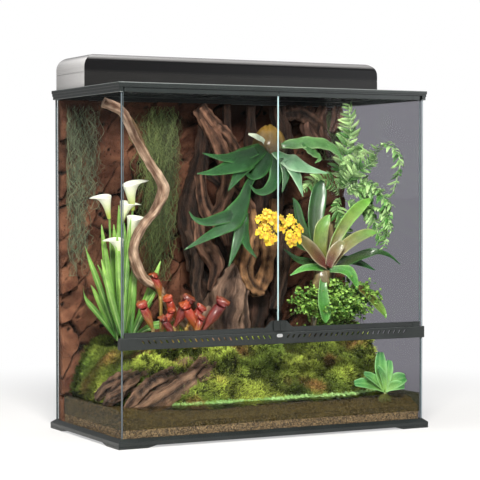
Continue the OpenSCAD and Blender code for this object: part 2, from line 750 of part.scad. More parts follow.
// Ground between two height rules over a grid that runs from one y rule to another
module ground(cols, rows, y0, y1, low, high) {
  xs = [for (i = [0:cols]) -in_x + 2 * in_x * i / cols];
  function y_at(x, j) = y0(x) + (y1(x) - y0(x)) * j / rows;
  n = rows + 1;
  top = [for (x = xs) for (j = [0:rows]) [x, y_at(x, j), high(x, y_at(x, j), j / rows)]];
  under = [for (x = xs) for (j = [0:rows]) [x, y_at(x, j), low(x, y_at(x, j), j / rows)]];
  count = len(top);
  upper = [for (i = [0:cols - 1]) for (j = [0:rows - 1]) for (half = [0, 1])
    let (a = i * n + j) half == 0 ? [a, a + 1, a + n] : [a + 1, a + n + 1, a + n]];
  lower = [for (f = upper) [count + f[2], count + f[1], count + f[0]]];
  edge = concat([for (j = [0:rows - 1]) j], [for (i = [0:cols - 1]) i * n + rows],
    [for (j = [rows:-1:1]) cols * n + j], [for (i = [cols:-1:1]) i * n]);
  m = len(edge);
  walls = [for (k = [0:m - 1]) for (half = [0, 1]) let (a = edge[k], b = edge[(k + 1) % m])
    half == 0 ? [a, count + a, b] : [b, count + a, count + b]];
  polyhedron(points = concat(top, under), faces = concat(upper, lower, walls), convexity = 8);
}

module gravel_bed() {
  color("#b9945f") ground(12, 6, function(x) -in_y + 0.5, function(x) rock_y - rock_relief - soft_gap,
    function(x, y, v) floor_z, function(x, y, v) gravel_at(x, y));
}

module water() {
  color("#7f8a5a", 0.35) ground(24, 2, function(x) -in_y + 0.5, function(x) shore_at(x) - 2,
    function(x, y, v) gravel_at(x, y) + 2.5, function(x, y, v) water_z);
}

// The moss as it grows, before roots and stems are let into it
module moss_field() {
  ground(26, 9, function(x) shore_at(x), function(x) rock_y - rock_relief - soft_gap,
    function(x, y, v) gravel_at(x, y) + 2.5, function(x, y, v) moss_at(x, v));
}

// Height of the moss surface at a place seen from above
function moss_top(x, y) = moss_at(x, (y - shore_at(x)) / (rock_y - rock_relief - soft_gap - shore_at(x)));

// Where stems stand in the moss: [across, back, radius]
stems = [
  [112, -14, 3], [338, 84, 9], [226, 0, 10],
  [-350, 30, 4], [-332, 34, 4], [-316, 24, 4], [-340, 14, 4], [-324, 48, 4],
  [-286, -30, 5], [-262, -34, 5], [-172, -52, 4], [-236, -14, 4], [-156, -66, 5], [-130, -58, 5],
  [300, 30, 3], [360, 36, 3], [408, 30, 3]];
stem_sink = 14;
stem_show = 9;
function stem_end(k) = let (p = site([stems[k][0], stems[k][1], 0]))
  [p[0], p[1], moss_top(p[0], p[1]) + stem_show, stems[k][2]];

module stem(k, grow = 0) {
  p = stem_end(k);
  translate([p[0], p[1], p[2] - stem_show - stem_sink - grow])
    cylinder(r = p[3] + grow, h = stem_show + stem_sink + (grow > 0 ? 60 : 0), $fn = 8);
}

module moss_mounds() {
  color("#7f9a35") difference() {
    moss_field();
    root_trunk_limbs(soft_gap, [0:3]);
    buttress_limbs(soft_gap);
    branch_limbs(soft_gap);
    for (k = [0:len(stems) - 1]) stem(k, soft_gap);
  }
}

// Relief of the rock: broad slabs that lean over each other
function rock_at(x, z) = let (u = x / in_x * 180, w = z / glass_h * 180,
    slab = abs(sin(1.6 * u + 1.1 * w + 30 * sin(2.3 * w))), face = abs(sin(0.9 * u - 2.1 * w + 40)))
  rock_t + rock_relief * (0.55 * slab + 0.45 * face);

module rock_background() {
  cols = 22;
  rows = 22;
  z0 = floor_z;
  z1 = top_z - 1;
  rings = [for (i = [0:cols]) let (x = -in_x + 2 * in_x * i / cols)
    concat([for (j = [0:rows]) let (z = z0 + (z1 - z0) * j / rows) [x, in_y - rock_at(x, z), z]],
      [[x, in_y, z1], [x, in_y, z0]])];
  color("#70402f") skin(rings);
}

// ---- wood ----

// Driftwood: from the top left corner, over a knee and a kink, into the moss
branch_path = [[-432, -62, 880, 11], [-380, -60, 860, 13], [-320, -54, 790, 15], [-276, -46, 722, 16],
  [-250, -40, 660, 17], [-270, -34, 600, 17], [-306, -28, 555, 15], [-324, -22, 495, 14],
  [-303, -20, 425, 15], [-258, -16, 388, 14], [-222, -12, 330, 14], [-180, -4, 250, 15]];
twig_path = [[-372, -52, 800, 5], [-330, -40, 740, 7], [-290, -34, 690, 8], [-262, -36, 640, 6]];

module branch_limbs(grow = 0) {
  limb([for (p = branch_path) concat(site(p), p[3])], grow);
  limb([for (p = twig_path) concat(site(p), p[3])], grow, 5);
}

module driftwood_branch() {
  color("#b08a5c") branch_limbs();
}

root_paths = [
  [[-75, 95, 240, 30], [-50, 90, 350, 34], [-80, 98, 470, 30], [-95, 110, 600, 26], [-60, 112, 740, 26], [-50, 112, 888, 24]],
  [[5, 80, 235, 42], [-15, 78, 330, 44], [20, 88, 430, 38], [10, 100, 560, 30], [25, 110, 700, 28], [15, 112, 888, 24]],
  [[75, 85, 235, 32], [95, 84, 340, 30], [70, 92, 460, 30], [110, 104, 590, 30], [100, 110, 720, 30], [95, 112, 888, 26]],
  [[160, 95, 235, 26], [150, 96, 350, 26], [175, 104, 470, 26], [160, 110, 600, 30], [200, 112, 740, 26], [180, 112, 888, 24]],
  [[-50, 90, 700, 14], [30, 70, 620, 16], [110, 80, 500, 16], [60, 62, 400, 14]],
  [[190, 112, 868, 20], [250, 108, 872, 24], [320, 104, 815, 20], [356, 112, 750, 12]]];

buttress_paths = [
  [[-120, 50, 300, 22], [-175, 0, 240, 26], [-245, -62, 190, 26], [-310, -100, 150, 22], [-380, -110, 120, 16]],
  [[-70, 0, 275, 20], [-85, -60, 215, 24], [-160, -112, 165, 24], [-240, -138, 130, 16]],
  [[-140, 70, 290, 18], [-230, 30, 245, 20], [-320, -20, 205, 20], [-400, -50, 160, 16]],
  [[-40, 20, 268, 18], [-40, -60, 215, 20], [-60, -128, 150, 16]],
  [[-330, -60, 170, 14], [-370, -20, 190, 16], [-420, 40, 190, 12]]];

module root_trunk_limbs(grow = 0, which = [0:5]) {
  for (k = which) limb([for (p = root_paths[k]) concat(site(p), p[3])], grow);
}

module buttress_limbs(grow = 0) {
  for (path = buttress_paths) limb([for (p = path) concat(site(p), p[3])], grow);
}

module root_trunk() {
  color("#3a2c25") difference() {
    root_trunk_limbs();
    shield(soft_gap);
  }
}

module buttress_roots() {
  color("#6a4d38") difference() {
    buttress_limbs();
    root_trunk_limbs(soft_gap, [0:1]);
    branch_limbs(soft_gap);
  }
}

// ---- plants ----

// Curtains of moss hooked over the top edge of the rock: [across, foot height, width]
curtains = [[-412, 380, 44], [-366, 560, 26], [-175, 420, 40], [-140, 620, 24], [392, 700, 44]];

module hanging_moss() {
  hang_y = 164;
  hook_r = 4;
  color("#6f7d45") for (c = curtains) {
    p = site([c[0], hang_y, 885]);
    leaf(p + [0, 0, 6], site([c[0] + 12, hang_y, (885 + c[1]) / 2]), site([c[0] - 6, hang_y + 2, c[1]]),
      c[2], 20, [0, 1, 0], 0.6, 6);
    translate([p[0], 0, top_z - 1 + soft_gap + hook_r]) {
      translate([0, p[1] - hook_r, 0]) rotate([-90, 0, 0]) cylinder(r = hook_r, h = 40, $fn = 8);
      translate([0, p[1], -24]) cylinder(r = hook_r, h = 24, $fn = 8);
    }
  }
}

// [foot, bend, tip, width] of each leaf of the staghorn fern
stag_leaves = [
  [[118, 62, 770], [10, -10, 815], [-132, -50, 747], 46], [[4, -1, 785], [-60, -40, 740], [-150, -66, 694], 30],
  [[-2, -3, 786], [-20, -50, 720], [-58, -50, 650], 34], [[112, 60, 762], [0, -20, 760], [-60, -60, 560], 52],
  [[-12, -27, 676], [-80, -70, 640], [-156, -76, 556], 30], [[-40, -46, 616], [-60, -70, 560], [-140, -76, 518], 24],
  [[-30, -40, 639], [-50, -75, 540], [-72, -72, 448], 44], [[-34, -42, 632], [-10, -75, 540], [6, -74, 476], 40],
  [[118, 60, 780], [100, 30, 830], [68, 74, 808], 24], [[128, 60, 758], [200, 10, 770], [280, -8, 700], 36],
  [[200, 18, 750], [190, -10, 700], [184, -24, 628], 30], [[118, 60, 750], [80, 0, 720], [50, -70, 644], 26],
  [[124, 58, 750], [120, 20, 680], [140, -30, 640], 28], [[138, 62, 760], [220, 40, 830], [290, 50, 810], 30]];

module staghorn_fern() {
  color("#3f7d46") {
    for (l = stag_leaves) leaf(site(l[0]), site(l[1]), site(l[2]), l[3], 4, [0, -1, 0.4], 1.2);
    shield();
  }
}

// Rounded sterile frond that holds the fern to the trunk
module shield(grow = 0) {
  translate(site([124, 72, 765])) skin([for (k = [0:5]) let (a = 18 + 144 * k / 5)
    [for (e = [0:7]) [(34 + grow) * cos(45 * e) * sin(a), -(24 + grow) * sin(45 * e) * sin(a), -(44 + grow) * cos(a)]]]);
}

module orchid() {
  color("#f0c419") {
    for (k = [0:13]) let (a = 137.5 * k, r = 14 + 4.6 * k,
        at = site([60 + r * cos(a) * 0.95, -98 + 6 * sin(3 * a), 568 + r * sin(a) * 0.95])) {
      translate(at) rotate([0, 0, a]) for (t = [0, 90]) rotate([20, 0, t]) cube([26, 3, 14], center = true);
      limb([concat(site([66, -98, 560]), 3), concat(at, 2)], 0, 5, 1);
    }
    limb(concat([for (p = [[60, -90, 640, 2], [66, -98, 570, 3], [90, -92, 470, 3], [108, -50, 360, 3]])
      concat(site(p), p[3])], [stem_end(0)]), 0, 5);
    stem(0);
  }
}

// [foot, bend, tip, width] of the fern fronds on the right
fern_fronds = [
  [[336, 86, 545], [300, 60, 830], [250, 40, 760], 46], [[340, 88, 545], [330, 60, 860], [380, 60, 880], 44],
  [[342, 86, 540], [390, 30, 800], [425, -60, 790], 50], [[340, 84, 536], [400, 20, 740], [430, -90, 640], 52],
  [[338, 82, 530], [390, -10, 640], [425, -110, 560], 50], [[336, 82, 530], [370, 20, 640], [395, -60, 520], 46],
  [[334, 84, 532], [350, 40, 700], [345, -40, 650], 46], [[340, 84, 534], [370, 40, 600], [400, -20, 470], 50]];

module lace_ferns() {
  color("#8fbf55") {
    for (l = fern_fronds) leaf(site(l[0]), site(l[1]), site(l[2]), l[3], 3, [0, -1, 0.3], 1);
    limb(concat([stem_end(1)], [for (p = [[345, 94, 400, 10], [338, 84, 560, 13]]) concat(site(p), p[3])]));
    stem(1);
  }
}

// [bend offset, tip offset, width] of each bromeliad leaf from the heart of the plant
brom_heart = [238, -40, 395];
brom_leaves = [
  [[-20, 10, 150], [0, 30, 285], 40], [[-50, -10, 130], [-95, -20, 252], 38], [[10, -10, 120], [18, -22, 190], 52],
  [[70, 0, 100], [150, 20, 225], 40], [[80, -20, 80], [140, -30, 140], 46], [[-70, -20, 60], [-130, -10, 60], 40],
  [[60, -40, 40], [110, -50, -20], 36], [[-50, -40, 50], [-80, -60, -10], 34], [[0, -60, 30], [-8, -62, -105], 44],
  [[40, 20, 110], [80, 40, 200], 34], [[-20, 20, 100], [-50, 40, 190], 34]];

module bromeliad() {
  heart = site(brom_heart);
  color("#5f8f3f") {
    for (l = brom_leaves) leaf(heart, heart + l[0], heart + l[1], l[2], 5, [0, -1, 0.5], 0.8);
    limb(concat([for (p = [[238, -40, 430, 24], [236, -38, 395, 26], [232, -20, 330, 12]]) concat(site(p), p[3])],
      [stem_end(2)]));
    stem(2);
  }
}

// Three vines that climb out of the moss and hang over its edge
vines = [[[305, 10, 330, 3], [310, -20, 352, 3], [300, -50, 320, 3]],
  [[365, 14, 340, 3], [355, -20, 362, 3], [345, -56, 320, 3]],
  [[410, 10, 335, 3], [404, -24, 354, 3], [396, -60, 312, 3]]];

module creeper() {
  color("#7fae3c") for (k = [0:2]) {
    path = concat([stem_end(14 + k)], [for (p = vines[k]) concat(site(p), p[3])]);
    limb(path, 0, 5);
    stem(14 + k);
    for (n = [0:5]) let (q = path_at(path, 0.6 + 0.46 * n), at = [q[0], q[1], q[2]], s = n % 2 == 0 ? 1 : -1)
      leaf(at, at + [s * 12, -4, 12], at + [s * 26, -8, 2], 24, 4, [0, -1, 0.6], 1, 3);
  }
}

// Each leaf and flower rises from one of the five stems: [stem, bend, tip, width]
calla_leaves = [
  [3, [-390, 10, 430], [-400, 20, 560], 34], [4, [-352, 40, 440], [-352, 50, 560], 38],
  [5, [-320, 10, 400], [-300, 14, 505], 36], [6, [-390, -14, 360], [-415, -14, 470], 32],
  [5, [-270, 4, 380], [-236, 4, 462], 30], [7, [-300, 60, 420], [-328, 74, 610], 30],
  [3, [-390, 40, 340], [-422, 40, 400], 30], [5, [-285, 10, 330], [-258, 10, 372], 26]];
calla_flowers = [[7, -299, 44, 612], [4, -322, 24, 525], [3, -366, 48, 590], [6, -356, 0, 480], [4, -336, 46, 566]];

module calla_lilies() {
  color("#5a8f3a") {
    for (k = [3:7]) stem(k);
    for (l = calla_leaves)
      leaf([for (i = [0:2]) stem_end(l[0])[i] - (i == 2 ? 6 : 0)], site(l[1]), site(l[2]), l[3], 4, [0, -1, 0.2], 0.9);
    for (f = calla_flowers) let (g = stems[f[0]]) {
      limb(concat([stem_end(f[0])], [for (p = [[(g[0] + f[1]) / 2, f[2], (f[3] + 262) / 2, 3.5], [f[1], f[2], f[3], 3]])
        concat(site(p), p[3])]), 0, 5);
      limb([for (p = [[f[1], f[2], f[3] - 8, 4], [f[1], f[2], f[3] + 12, 12], [f[1] + 4, f[2] - 4, f[3] + 34, 19]])
        concat(site(p), p[3])], 0, 8);
    }
  }
}

// Each pitcher hangs from a stem: [stem, across, back, foot, mouth]
pitchers = [[8, -292, -54, 296, 356], [9, -258, -62, 290, 335], [10, -196, -74, 290, 332], [12, -158, -88, 280, 340],
  [13, -122, -80, 290, 385], [11, -240, -40, 320, 410], [10, -206, -56, 310, 385]];

module pitcher_plants() {
  color("#9c2f24") {
    for (k = [8:13]) stem(k);
    for (p = pitchers)
      limb(concat([stem_end(p[0])], [for (q = [[p[1], p[2] + 8, p[3] - 16, 5], [p[1], p[2], (p[3] + p[4]) / 2, 11],
        [p[1] + 4, p[2] - 4, p[4], 14]]) concat(site(q), q[3])]));
  }
}

module water_plant() {
  heart = site([352, -186, 101]);
  blades = [[[-20, 0, 50], [-12, 5, 108], 26], [[10, 4, 50], [20, 8, 96], 24], [[-40, 0, 30], [-95, 4, 26], 24],
    [[-30, -4, 40], [-70, -6, 52], 22], [[30, 0, 34], [72, 6, 34], 24], [[26, -4, 24], [60, -6, 10], 22],
    [[0, -6, 40], [-30, -10, 80], 22]];
  color("#7fc24a") {
    for (b = blades) leaf(heart, heart + b[0], heart + b[1], b[2], 4, [0, -1, 0.5], 0.8);
    translate([heart[0], heart[1], water_z + soft_gap]) cylinder(r1 = 18, r2 = 9, h = heart[2] - water_z + 6, $fn = 8);
  }
}

base_frame();
bottom_pane();
left_pane();
right_pane();
back_pane();
front_lower_pane();
top_frame();
rear_ledge();
vent_strip();
hinge_pins();
left_door_glass();
left_door_bottom_rail();
left_door_keeper();
left_door_top_rail();
left_door_handle();
right_door_glass();
right_door_bottom_rail();
right_door_keeper();
right_door_top_rail();
right_door_handle();
lock_knob();
lock_tongue();
screen_frame();
screen_mesh();
left_inlet_slide();
right_inlet_slide();
hood_shell();
hood_reflector();
lamp_sockets();
lamps();
switch_housing();
hood_switch();
power_gland();
rock_background();
gravel_bed();
water();
moss_mounds();
driftwood_branch();
root_trunk();
buttress_roots();
hanging_moss();
staghorn_fern();
orchid();
lace_ferns();
bromeliad();
creeper();
calla_lilies();
pitcher_plants();
water_plant();
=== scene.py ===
import math

import bpy
import numpy as np
from numpy import arange, array, clip, cos, cross, exp, full, linspace, maximum, minimum, pi, radians, sin
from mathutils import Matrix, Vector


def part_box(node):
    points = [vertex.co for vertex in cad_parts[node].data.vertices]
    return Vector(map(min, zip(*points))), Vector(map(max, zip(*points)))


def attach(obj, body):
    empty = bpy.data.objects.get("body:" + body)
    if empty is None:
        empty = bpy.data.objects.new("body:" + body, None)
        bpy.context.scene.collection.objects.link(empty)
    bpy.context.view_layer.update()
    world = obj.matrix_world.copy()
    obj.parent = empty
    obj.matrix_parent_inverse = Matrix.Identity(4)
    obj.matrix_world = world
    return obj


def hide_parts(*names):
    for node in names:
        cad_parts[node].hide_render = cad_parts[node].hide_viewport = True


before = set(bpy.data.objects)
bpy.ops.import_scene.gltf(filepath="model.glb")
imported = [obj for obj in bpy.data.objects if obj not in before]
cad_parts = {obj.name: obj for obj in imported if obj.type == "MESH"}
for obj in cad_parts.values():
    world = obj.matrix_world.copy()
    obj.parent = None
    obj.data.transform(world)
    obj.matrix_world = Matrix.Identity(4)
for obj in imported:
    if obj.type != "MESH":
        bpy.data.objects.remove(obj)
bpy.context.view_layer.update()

print("frame loaded:", len(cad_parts), "nodes")


def mm(*point):  # a place in millimetres, given in metres
    return array(point, float) / 1000


dice = np.random.default_rng
join = np.concatenate


def stacked(*columns):  # arrays side by side along a new last axis
    return np.stack(columns, -1)


def unit(v):
    return v / maximum(np.linalg.norm(v, axis=-1, keepdims=True), 1e-9)


def mixed(a, b, t):  # a where t is 0, b where t is 1
    t = clip(np.asarray(t, float), 0, 1)[..., None]
    return np.asarray(a, float) * (1 - t) + np.asarray(b, float) * t


def waves(p, size, seed, count=14):  # mean of sine waves in random directions, about -1 to 1
    rng = dice(seed)
    k = rng.normal(size=(count, p.shape[-1])) * (2.4 / size)
    return sin(p @ k.T + rng.uniform(0, 2 * pi, count)).mean(-1) * 2.6


def gridTris(rows, cols, wrap=False):  # two triangles for each cell of a grid of points
    r = arange(rows - 1)[:, None]
    c = arange(cols if wrap else cols - 1)[None, :]
    a, b = r * cols + c, r * cols + (c + 1) % cols
    quads = stacked(a, b, b + cols, a + cols).reshape(-1, 4)
    return join([quads[:, [0, 1, 2]], quads[:, [0, 2, 3]]])


def facingOut(v, f):  # turns the faces round where the enclosed volume is negative
    a, b, c = v[f[:, 0]], v[f[:, 1]], v[f[:, 2]]
    return f if np.einsum("ij,ij->", a, cross(b, c)) > 0 else f[:, ::-1]


def borderOf(rows, cols):  # the grid's outer points in order
    first = arange(cols)
    right = arange(1, rows) * cols + cols - 1
    last = (rows - 1) * cols + arange(cols - 2, -1, -1)
    left = arange(rows - 2, 0, -1) * cols
    return join([first, right, last, left])


def part(v, f, uv=None, tint=(1, 1, 1)):
    v = v.reshape(-1, 3)
    tint = np.broadcast_to(np.asarray(tint, float).reshape(-1, 3), (len(v), 3))
    uv = np.zeros((len(v), 2)) if uv is None else uv.reshape(-1, 2)
    return dict(v=v, f=facingOut(v, f), uv=uv, tint=tint)


def thickSheet(front, back, uv, tint):  # closed solid between two grids with the same points across and along
    rows, cols = front.shape[:2]
    n = rows * cols
    f = gridTris(rows, cols)
    e = borderOf(rows, cols)
    g = np.roll(e, -1)
    walls = join([stacked(e, e + n, g), stacked(g, e + n, g + n)])
    f = join([f, f[:, ::-1] + n, walls])
    tint = np.broadcast_to(tint, front.shape)
    return part(join([front.reshape(-1, 3), back.reshape(-1, 3)]), f, join([uv.reshape(-1, 2)] * 2),
        join([tint.reshape(-1, 3)] * 2))


def reliefBlock(front, axis, level, uv, tint):  # a relief closed by walls down to one flat level behind it
    rows, cols = front.shape[:2]
    n = rows * cols
    e = borderOf(rows, cols)
    foot = front.reshape(-1, 3)[e].copy()
    foot[:, axis] = level
    k = arange(len(e))
    nextK = (k + 1) % len(e)
    walls = join([stacked(e, n + k, e[nextK]), stacked(e[nextK], n + k, n + nextK)])
    fan = stacked(n + nextK, n + k, full(len(k), n + len(e)))
    v = join([front.reshape(-1, 3), foot, foot.mean(0)[None]])
    uv = uv.reshape(-1, 2)
    tint = np.broadcast_to(tint, front.shape).reshape(-1, 3)
    plain = np.tile(tint.mean(0), (len(e) + 1, 1))  # the flat side has one tone
    return part(v, join([gridTris(rows, cols), walls, fan]), join([uv, uv[e], uv[:1]]), join([tint, plain]))


def loft(rings, uv=None, tint=(1, 1, 1)):  # closed tube through rings of points, with a fan over each end
    rows, cols = rings.shape[:2]
    n = rows * cols
    j = arange(cols)
    k = (j + 1) % cols
    fans = join([stacked(j * 0 + n, k, j), stacked(j * 0 + n + 1, n - cols + j, n - cols + k)])
    v = join([rings.reshape(-1, 3), rings[0].mean(0)[None], rings[-1].mean(0)[None]])
    ends = [0, n - 1]
    uv = (np.zeros((rows, cols, 2)) if uv is None else uv).reshape(-1, 2)
    tint = np.broadcast_to(tint, rings.shape).reshape(-1, 3)
    return part(v, join([gridTris(rows, cols, True), fans]), join([uv, uv[ends]]), join([tint, tint[ends]]))


def merged(parts):
    sizes = np.cumsum([0] + [len(p["v"]) for p in parts])
    faces = join([p["f"] + s for p, s in zip(parts, sizes)])
    return {"f": faces, **{key: join([p[key] for p in parts]) for key in ("v", "uv", "tint")}}


def scattered(shape, places, turns, sizes, tints):
    # copies of one small shape, each turned, sized, tinted and placed
    v = np.einsum("kij,nj->kni", turns, shape["v"]) * sizes[:, None, None] + places[:, None, :]
    f = shape["f"][None] + (arange(len(places)) * len(shape["v"]))[:, None, None]
    tint = tints[:, None, :] * shape["tint"][None]
    return dict(v=v.reshape(-1, 3), f=f.reshape(-1, 3), uv=np.tile(shape["uv"], (len(places), 1)),
        tint=tint.reshape(-1, 3))


def turnsTo(ups, spins):  # rotations that take Z to each given direction, spun about it
    ups = unit(ups)
    seed = np.where(abs(ups[:, 2:3]) < 0.9, [[0, 0, 1.0]], [[0, 1.0, 0]])
    a = unit(cross(seed, ups))
    b = cross(ups, a)
    c, s = cos(spins)[:, None], sin(spins)[:, None]
    return stacked(a * c + b * s, b * c - a * s, ups)


def through(points, count):  # smooth Catmull-Rom curve through a list of points of any width
    p = np.asarray(points, float)
    p = join([2 * p[:1] - p[1:2], p, 2 * p[-1:] - p[-2:-1]])
    t = linspace(0, len(p) - 3, count)
    i = minimum(t.astype(int), len(p) - 4)
    f = (t - i)[:, None]
    a, b, c, d = p[i], p[i + 1], p[i + 2], p[i + 3]
    return b + 0.5 * f * (c - a + f * (2 * a - 5 * b + 4 * c - d + f * (3 * (b - c) + d - a)))


def along(path, lean=(0, 0, 1)):  # unit vectors forward, to the side and upward at each point of a path
    way = unit(np.gradient(path, axis=0))
    side = unit(cross(way, lean))
    return way, side, cross(side, way)


def heldBack(x, low, high, soft):
    # eases what passes a limit back inside it: x = limit - soft + soft tanh((x - limit + soft) / soft)
    x = np.where(x > high - soft, high - soft + soft * np.tanh((x - high + soft) / soft), x)
    return np.where(x < low + soft, low + soft - soft * np.tanh((low + soft - x) / soft), x)


def makePiece(name, parts, material, body="tank", replaces=(), smooth=True, held=True):
    data = merged(parts) if isinstance(parts, list) else parts
    mesh = bpy.data.meshes.new(name)
    v, f = data["v"], data["f"]
    if held:  # planting stays between the panes and under the screen
        v = np.stack([heldBack(v[:, axis], low, high, soft) for axis, (low, high, soft) in enumerate(roomInside)],
            -1)
    mesh.vertices.add(len(v))
    mesh.vertices.foreach_set("co", v.astype(np.float32).ravel())
    mesh.loops.add(f.size)
    mesh.loops.foreach_set("vertex_index", f.astype(np.int32).ravel())
    mesh.polygons.add(len(f))
    mesh.polygons.foreach_set("loop_start", arange(0, f.size, 3, dtype=np.int32))
    area = np.linalg.norm(cross(v[f[:, 1]] - v[f[:, 0]], v[f[:, 2]] - v[f[:, 0]]), axis=1) / 2
    # the large triangles of a flat side stay flat
    mesh.polygons.foreach_set("use_smooth", smooth & (area < flatFrom))
    mesh.update(calc_edges=True)
    layer = mesh.uv_layers.new(name="pattern")
    layer.data.foreach_set("uv", data["uv"][f.ravel()].astype(np.float32).ravel())
    tint = mesh.color_attributes.new("tint", "FLOAT_COLOR", "POINT")
    rgba = join([data["tint"], np.ones((len(v), 1))], -1)
    tint.data.foreach_set("color", rgba.astype(np.float32).ravel())
    mesh.materials.append(material)
    piece = bpy.data.objects.new(name, mesh)
    bpy.context.scene.collection.objects.link(piece)
    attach(piece, body)
    if replaces:
        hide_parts(*replaces)
    print("piece", name, len(f), "triangles")
    return piece


def feed(tree, socket, value):  # links a node or a socket, or sets a constant
    if isinstance(value, bpy.types.Node):
        value = value.outputs[0]
    if isinstance(value, bpy.types.NodeSocket):
        tree.links.new(value, socket)
    else:
        socket.default_value = value


def put(tree, kind, sockets=None, **settings):  # a shader node with its settings and its sockets
    node = tree.nodes.new("ShaderNode" + kind)
    for key, value in settings.items():
        setattr(node, key, value)
    for key, value in (sockets or {}).items():
        feed(tree, node.inputs[key], value)
    return node


def maths(tree, operation, *values):
    return put(tree, "Math", dict(enumerate(values)), operation=operation)


def ramp(tree, value, start, end, first=0.0, last=1.0):  # first where the value is start, last where it is end
    return put(tree, "MapRange", {"Value": value, "From Min": start, "From Max": end, "To Min": first,
        "To Max": last})


def axisOf(tree, socket, axis):  # one component of a vector
    return put(tree, "SeparateXYZ", {0: socket}).outputs[axis]


def blendColours(tree, amount, a, b, mode="MIX"):
    node = put(tree, "Mix", {0: amount}, data_type="RGBA", blend_type=mode)
    for index, value in ((6, a), (7, b)):
        feed(tree, node.inputs[index], (*value, 1) if isinstance(value, tuple) else value)
    return node.outputs[2]


def newMaterial(name):
    material = bpy.data.materials.new(name)
    material.use_nodes = True
    tree = material.node_tree
    tree.nodes.clear()
    return material, tree, put(tree, "TexCoord").outputs


def shown(tree, shader):
    put(tree, "OutputMaterial", {"Surface": shader})


def surface(name, look):
    # colour runs from dark to light with a broad noise, a fine noise lifts the surface and breaks up the gloss
    material, tree, coord = newMaterial(name)
    place = coord["Object"]
    broad = put(tree, "TexNoise", {"Vector": place, "Scale": look["broad"], "Detail": 6.0, "Roughness": 0.6})
    fine = put(tree, "TexNoise", {"Vector": place, "Scale": look["fine"], "Detail": 5.0, "Roughness": 0.65})
    colour = blendColours(tree, ramp(tree, broad, 0.3, 0.7), look["dark"], look["light"])
    if "specks" in look:
        speck = put(tree, "TexVoronoi", {"Vector": place, "Scale": look["fine"] * 0.4})
        colour = blendColours(tree, ramp(tree, speck, 0.12, 0.3, 0.8, 0.0), colour, look["specks"])
    for low, high in look.get("rims", ()):  # painted highlight lines between two heights, on upright faces only
        height = axisOf(tree, place, 2)
        upward = maths(tree, "ABSOLUTE", axisOf(tree, coord["Normal"], 2))
        highlightMask = maths(tree, "GREATER_THAN", height, low)
        for value, limit in ((height, high), (upward, 0.6)):
            highlightMask = maths(tree, "MULTIPLY", highlightMask, maths(tree, "LESS_THAN", value, limit))
        colour = blendColours(tree, highlightMask, colour, look["rim"])
    if look.get("tinted"):
        colour = blendColours(tree, 1.0, put(tree, "Attribute", attribute_name="tint"), colour, "MULTIPLY")
    height = fine
    if "streaks" in look:  # long dark grain lines that follow the piece's UV map
        run = put(tree, "Mapping", {"Vector": coord["UV"], "Scale": look["streaks"]})
        grain = put(tree, "TexNoise", {"Vector": run, "Scale": 1.0, "Detail": 8.0, "Roughness": 0.7,
            "Distortion": 0.6})
        lines = ramp(tree, grain, 0.38, 0.62)
        colour = blendColours(tree, 0.85, colour, blendColours(tree, lines, look["groove"], (1, 1, 1)), "MULTIPLY")
        height = maths(tree, "ADD", fine, lines)
    shown(tree, put(tree, "BsdfPrincipled", {"Base Color": colour,
        "Roughness": ramp(tree, fine, 0.3, 0.7, *look["rough"]),
        "Normal": put(tree, "Bump", {"Height": height, "Strength": look.get("bump", 0.5),
        "Distance": look["lift"]}), "Metallic": look.get("metal", 0.0), "Coat Weight": look.get("coat", 0.0),
        "Coat Roughness": look.get("coatRough", 0.08), "Sheen Weight": look.get("sheen", 0.0),
        "Specular IOR Level": look.get("specular", 0.5)}))
    return material


def clearBody(tree, look, normal=None):
    # see-through tint under a mirror with a share of facing^5, which grows towards a glancing view from either side;
    # shadow and diffuse rays only meet the paler tint
    slope = {"Normal": normal} if normal else {}
    rays = put(tree, "LightPath").outputs
    passing = maths(tree, "MAXIMUM", rays["Is Shadow Ray"], rays["Is Diffuse Ray"])
    facing = put(tree, "LayerWeight", {"Blend": 0.5, **slope}).outputs["Facing"]
    share = ramp(tree, maths(tree, "POWER", facing, 5.0), 0.0, 1.0, look["mirror"] * 0.04, look["mirror"])
    mirror = put(tree, "BsdfGlossy", {"Color": (1, 1, 1, 1), "Roughness": 0.02, **slope})
    seen, lit = (put(tree, "BsdfTransparent", {"Color": (*look[key], 1)}) for key in ("body", "shadow"))
    return put(tree, "MixShader", {0: passing, 1: put(tree, "MixShader", {0: share, 1: seen, 2: mirror}), 2: lit})


def paneGlass(name, look):
    # a face whose normal isn't along the pane's own axis is a ground edge: painted shade on its sides, a painted
    # highlight line in the middle and a painted glow
    material, tree, coord = newMaterial(name)
    edge = maths(tree, "LESS_THAN", maths(tree, "ABSOLUTE", axisOf(tree, coord["Normal"], look["axis"])), 0.5)
    off = maths(tree, "SUBTRACT", axisOf(tree, coord["Object"], look["axis"]), look["middle"])
    line = ramp(tree, maths(tree, "ABSOLUTE", off), 0.0006, 0.0017, 1.0, 0.0)
    colour = blendColours(tree, line, look["edge"], look["line"])
    if "seam" in look:  # the two doors' meeting edges get a pale painted highlight, their outer edges stay dark
        inner = maths(tree, "LESS_THAN", maths(tree, "ABSOLUTE", axisOf(tree, coord["Object"], 0)), 0.05)
        colour = blendColours(tree, inner, colour, look["seam"])
    rim = put(tree, "BsdfPrincipled", {"Base Color": colour, "Roughness": 0.25, "Emission Color": colour,
        "Emission Strength": look["glow"]})
    shown(tree, put(tree, "MixShader", {0: edge, 1: clearBody(tree, look), 2: rim}))
    return material


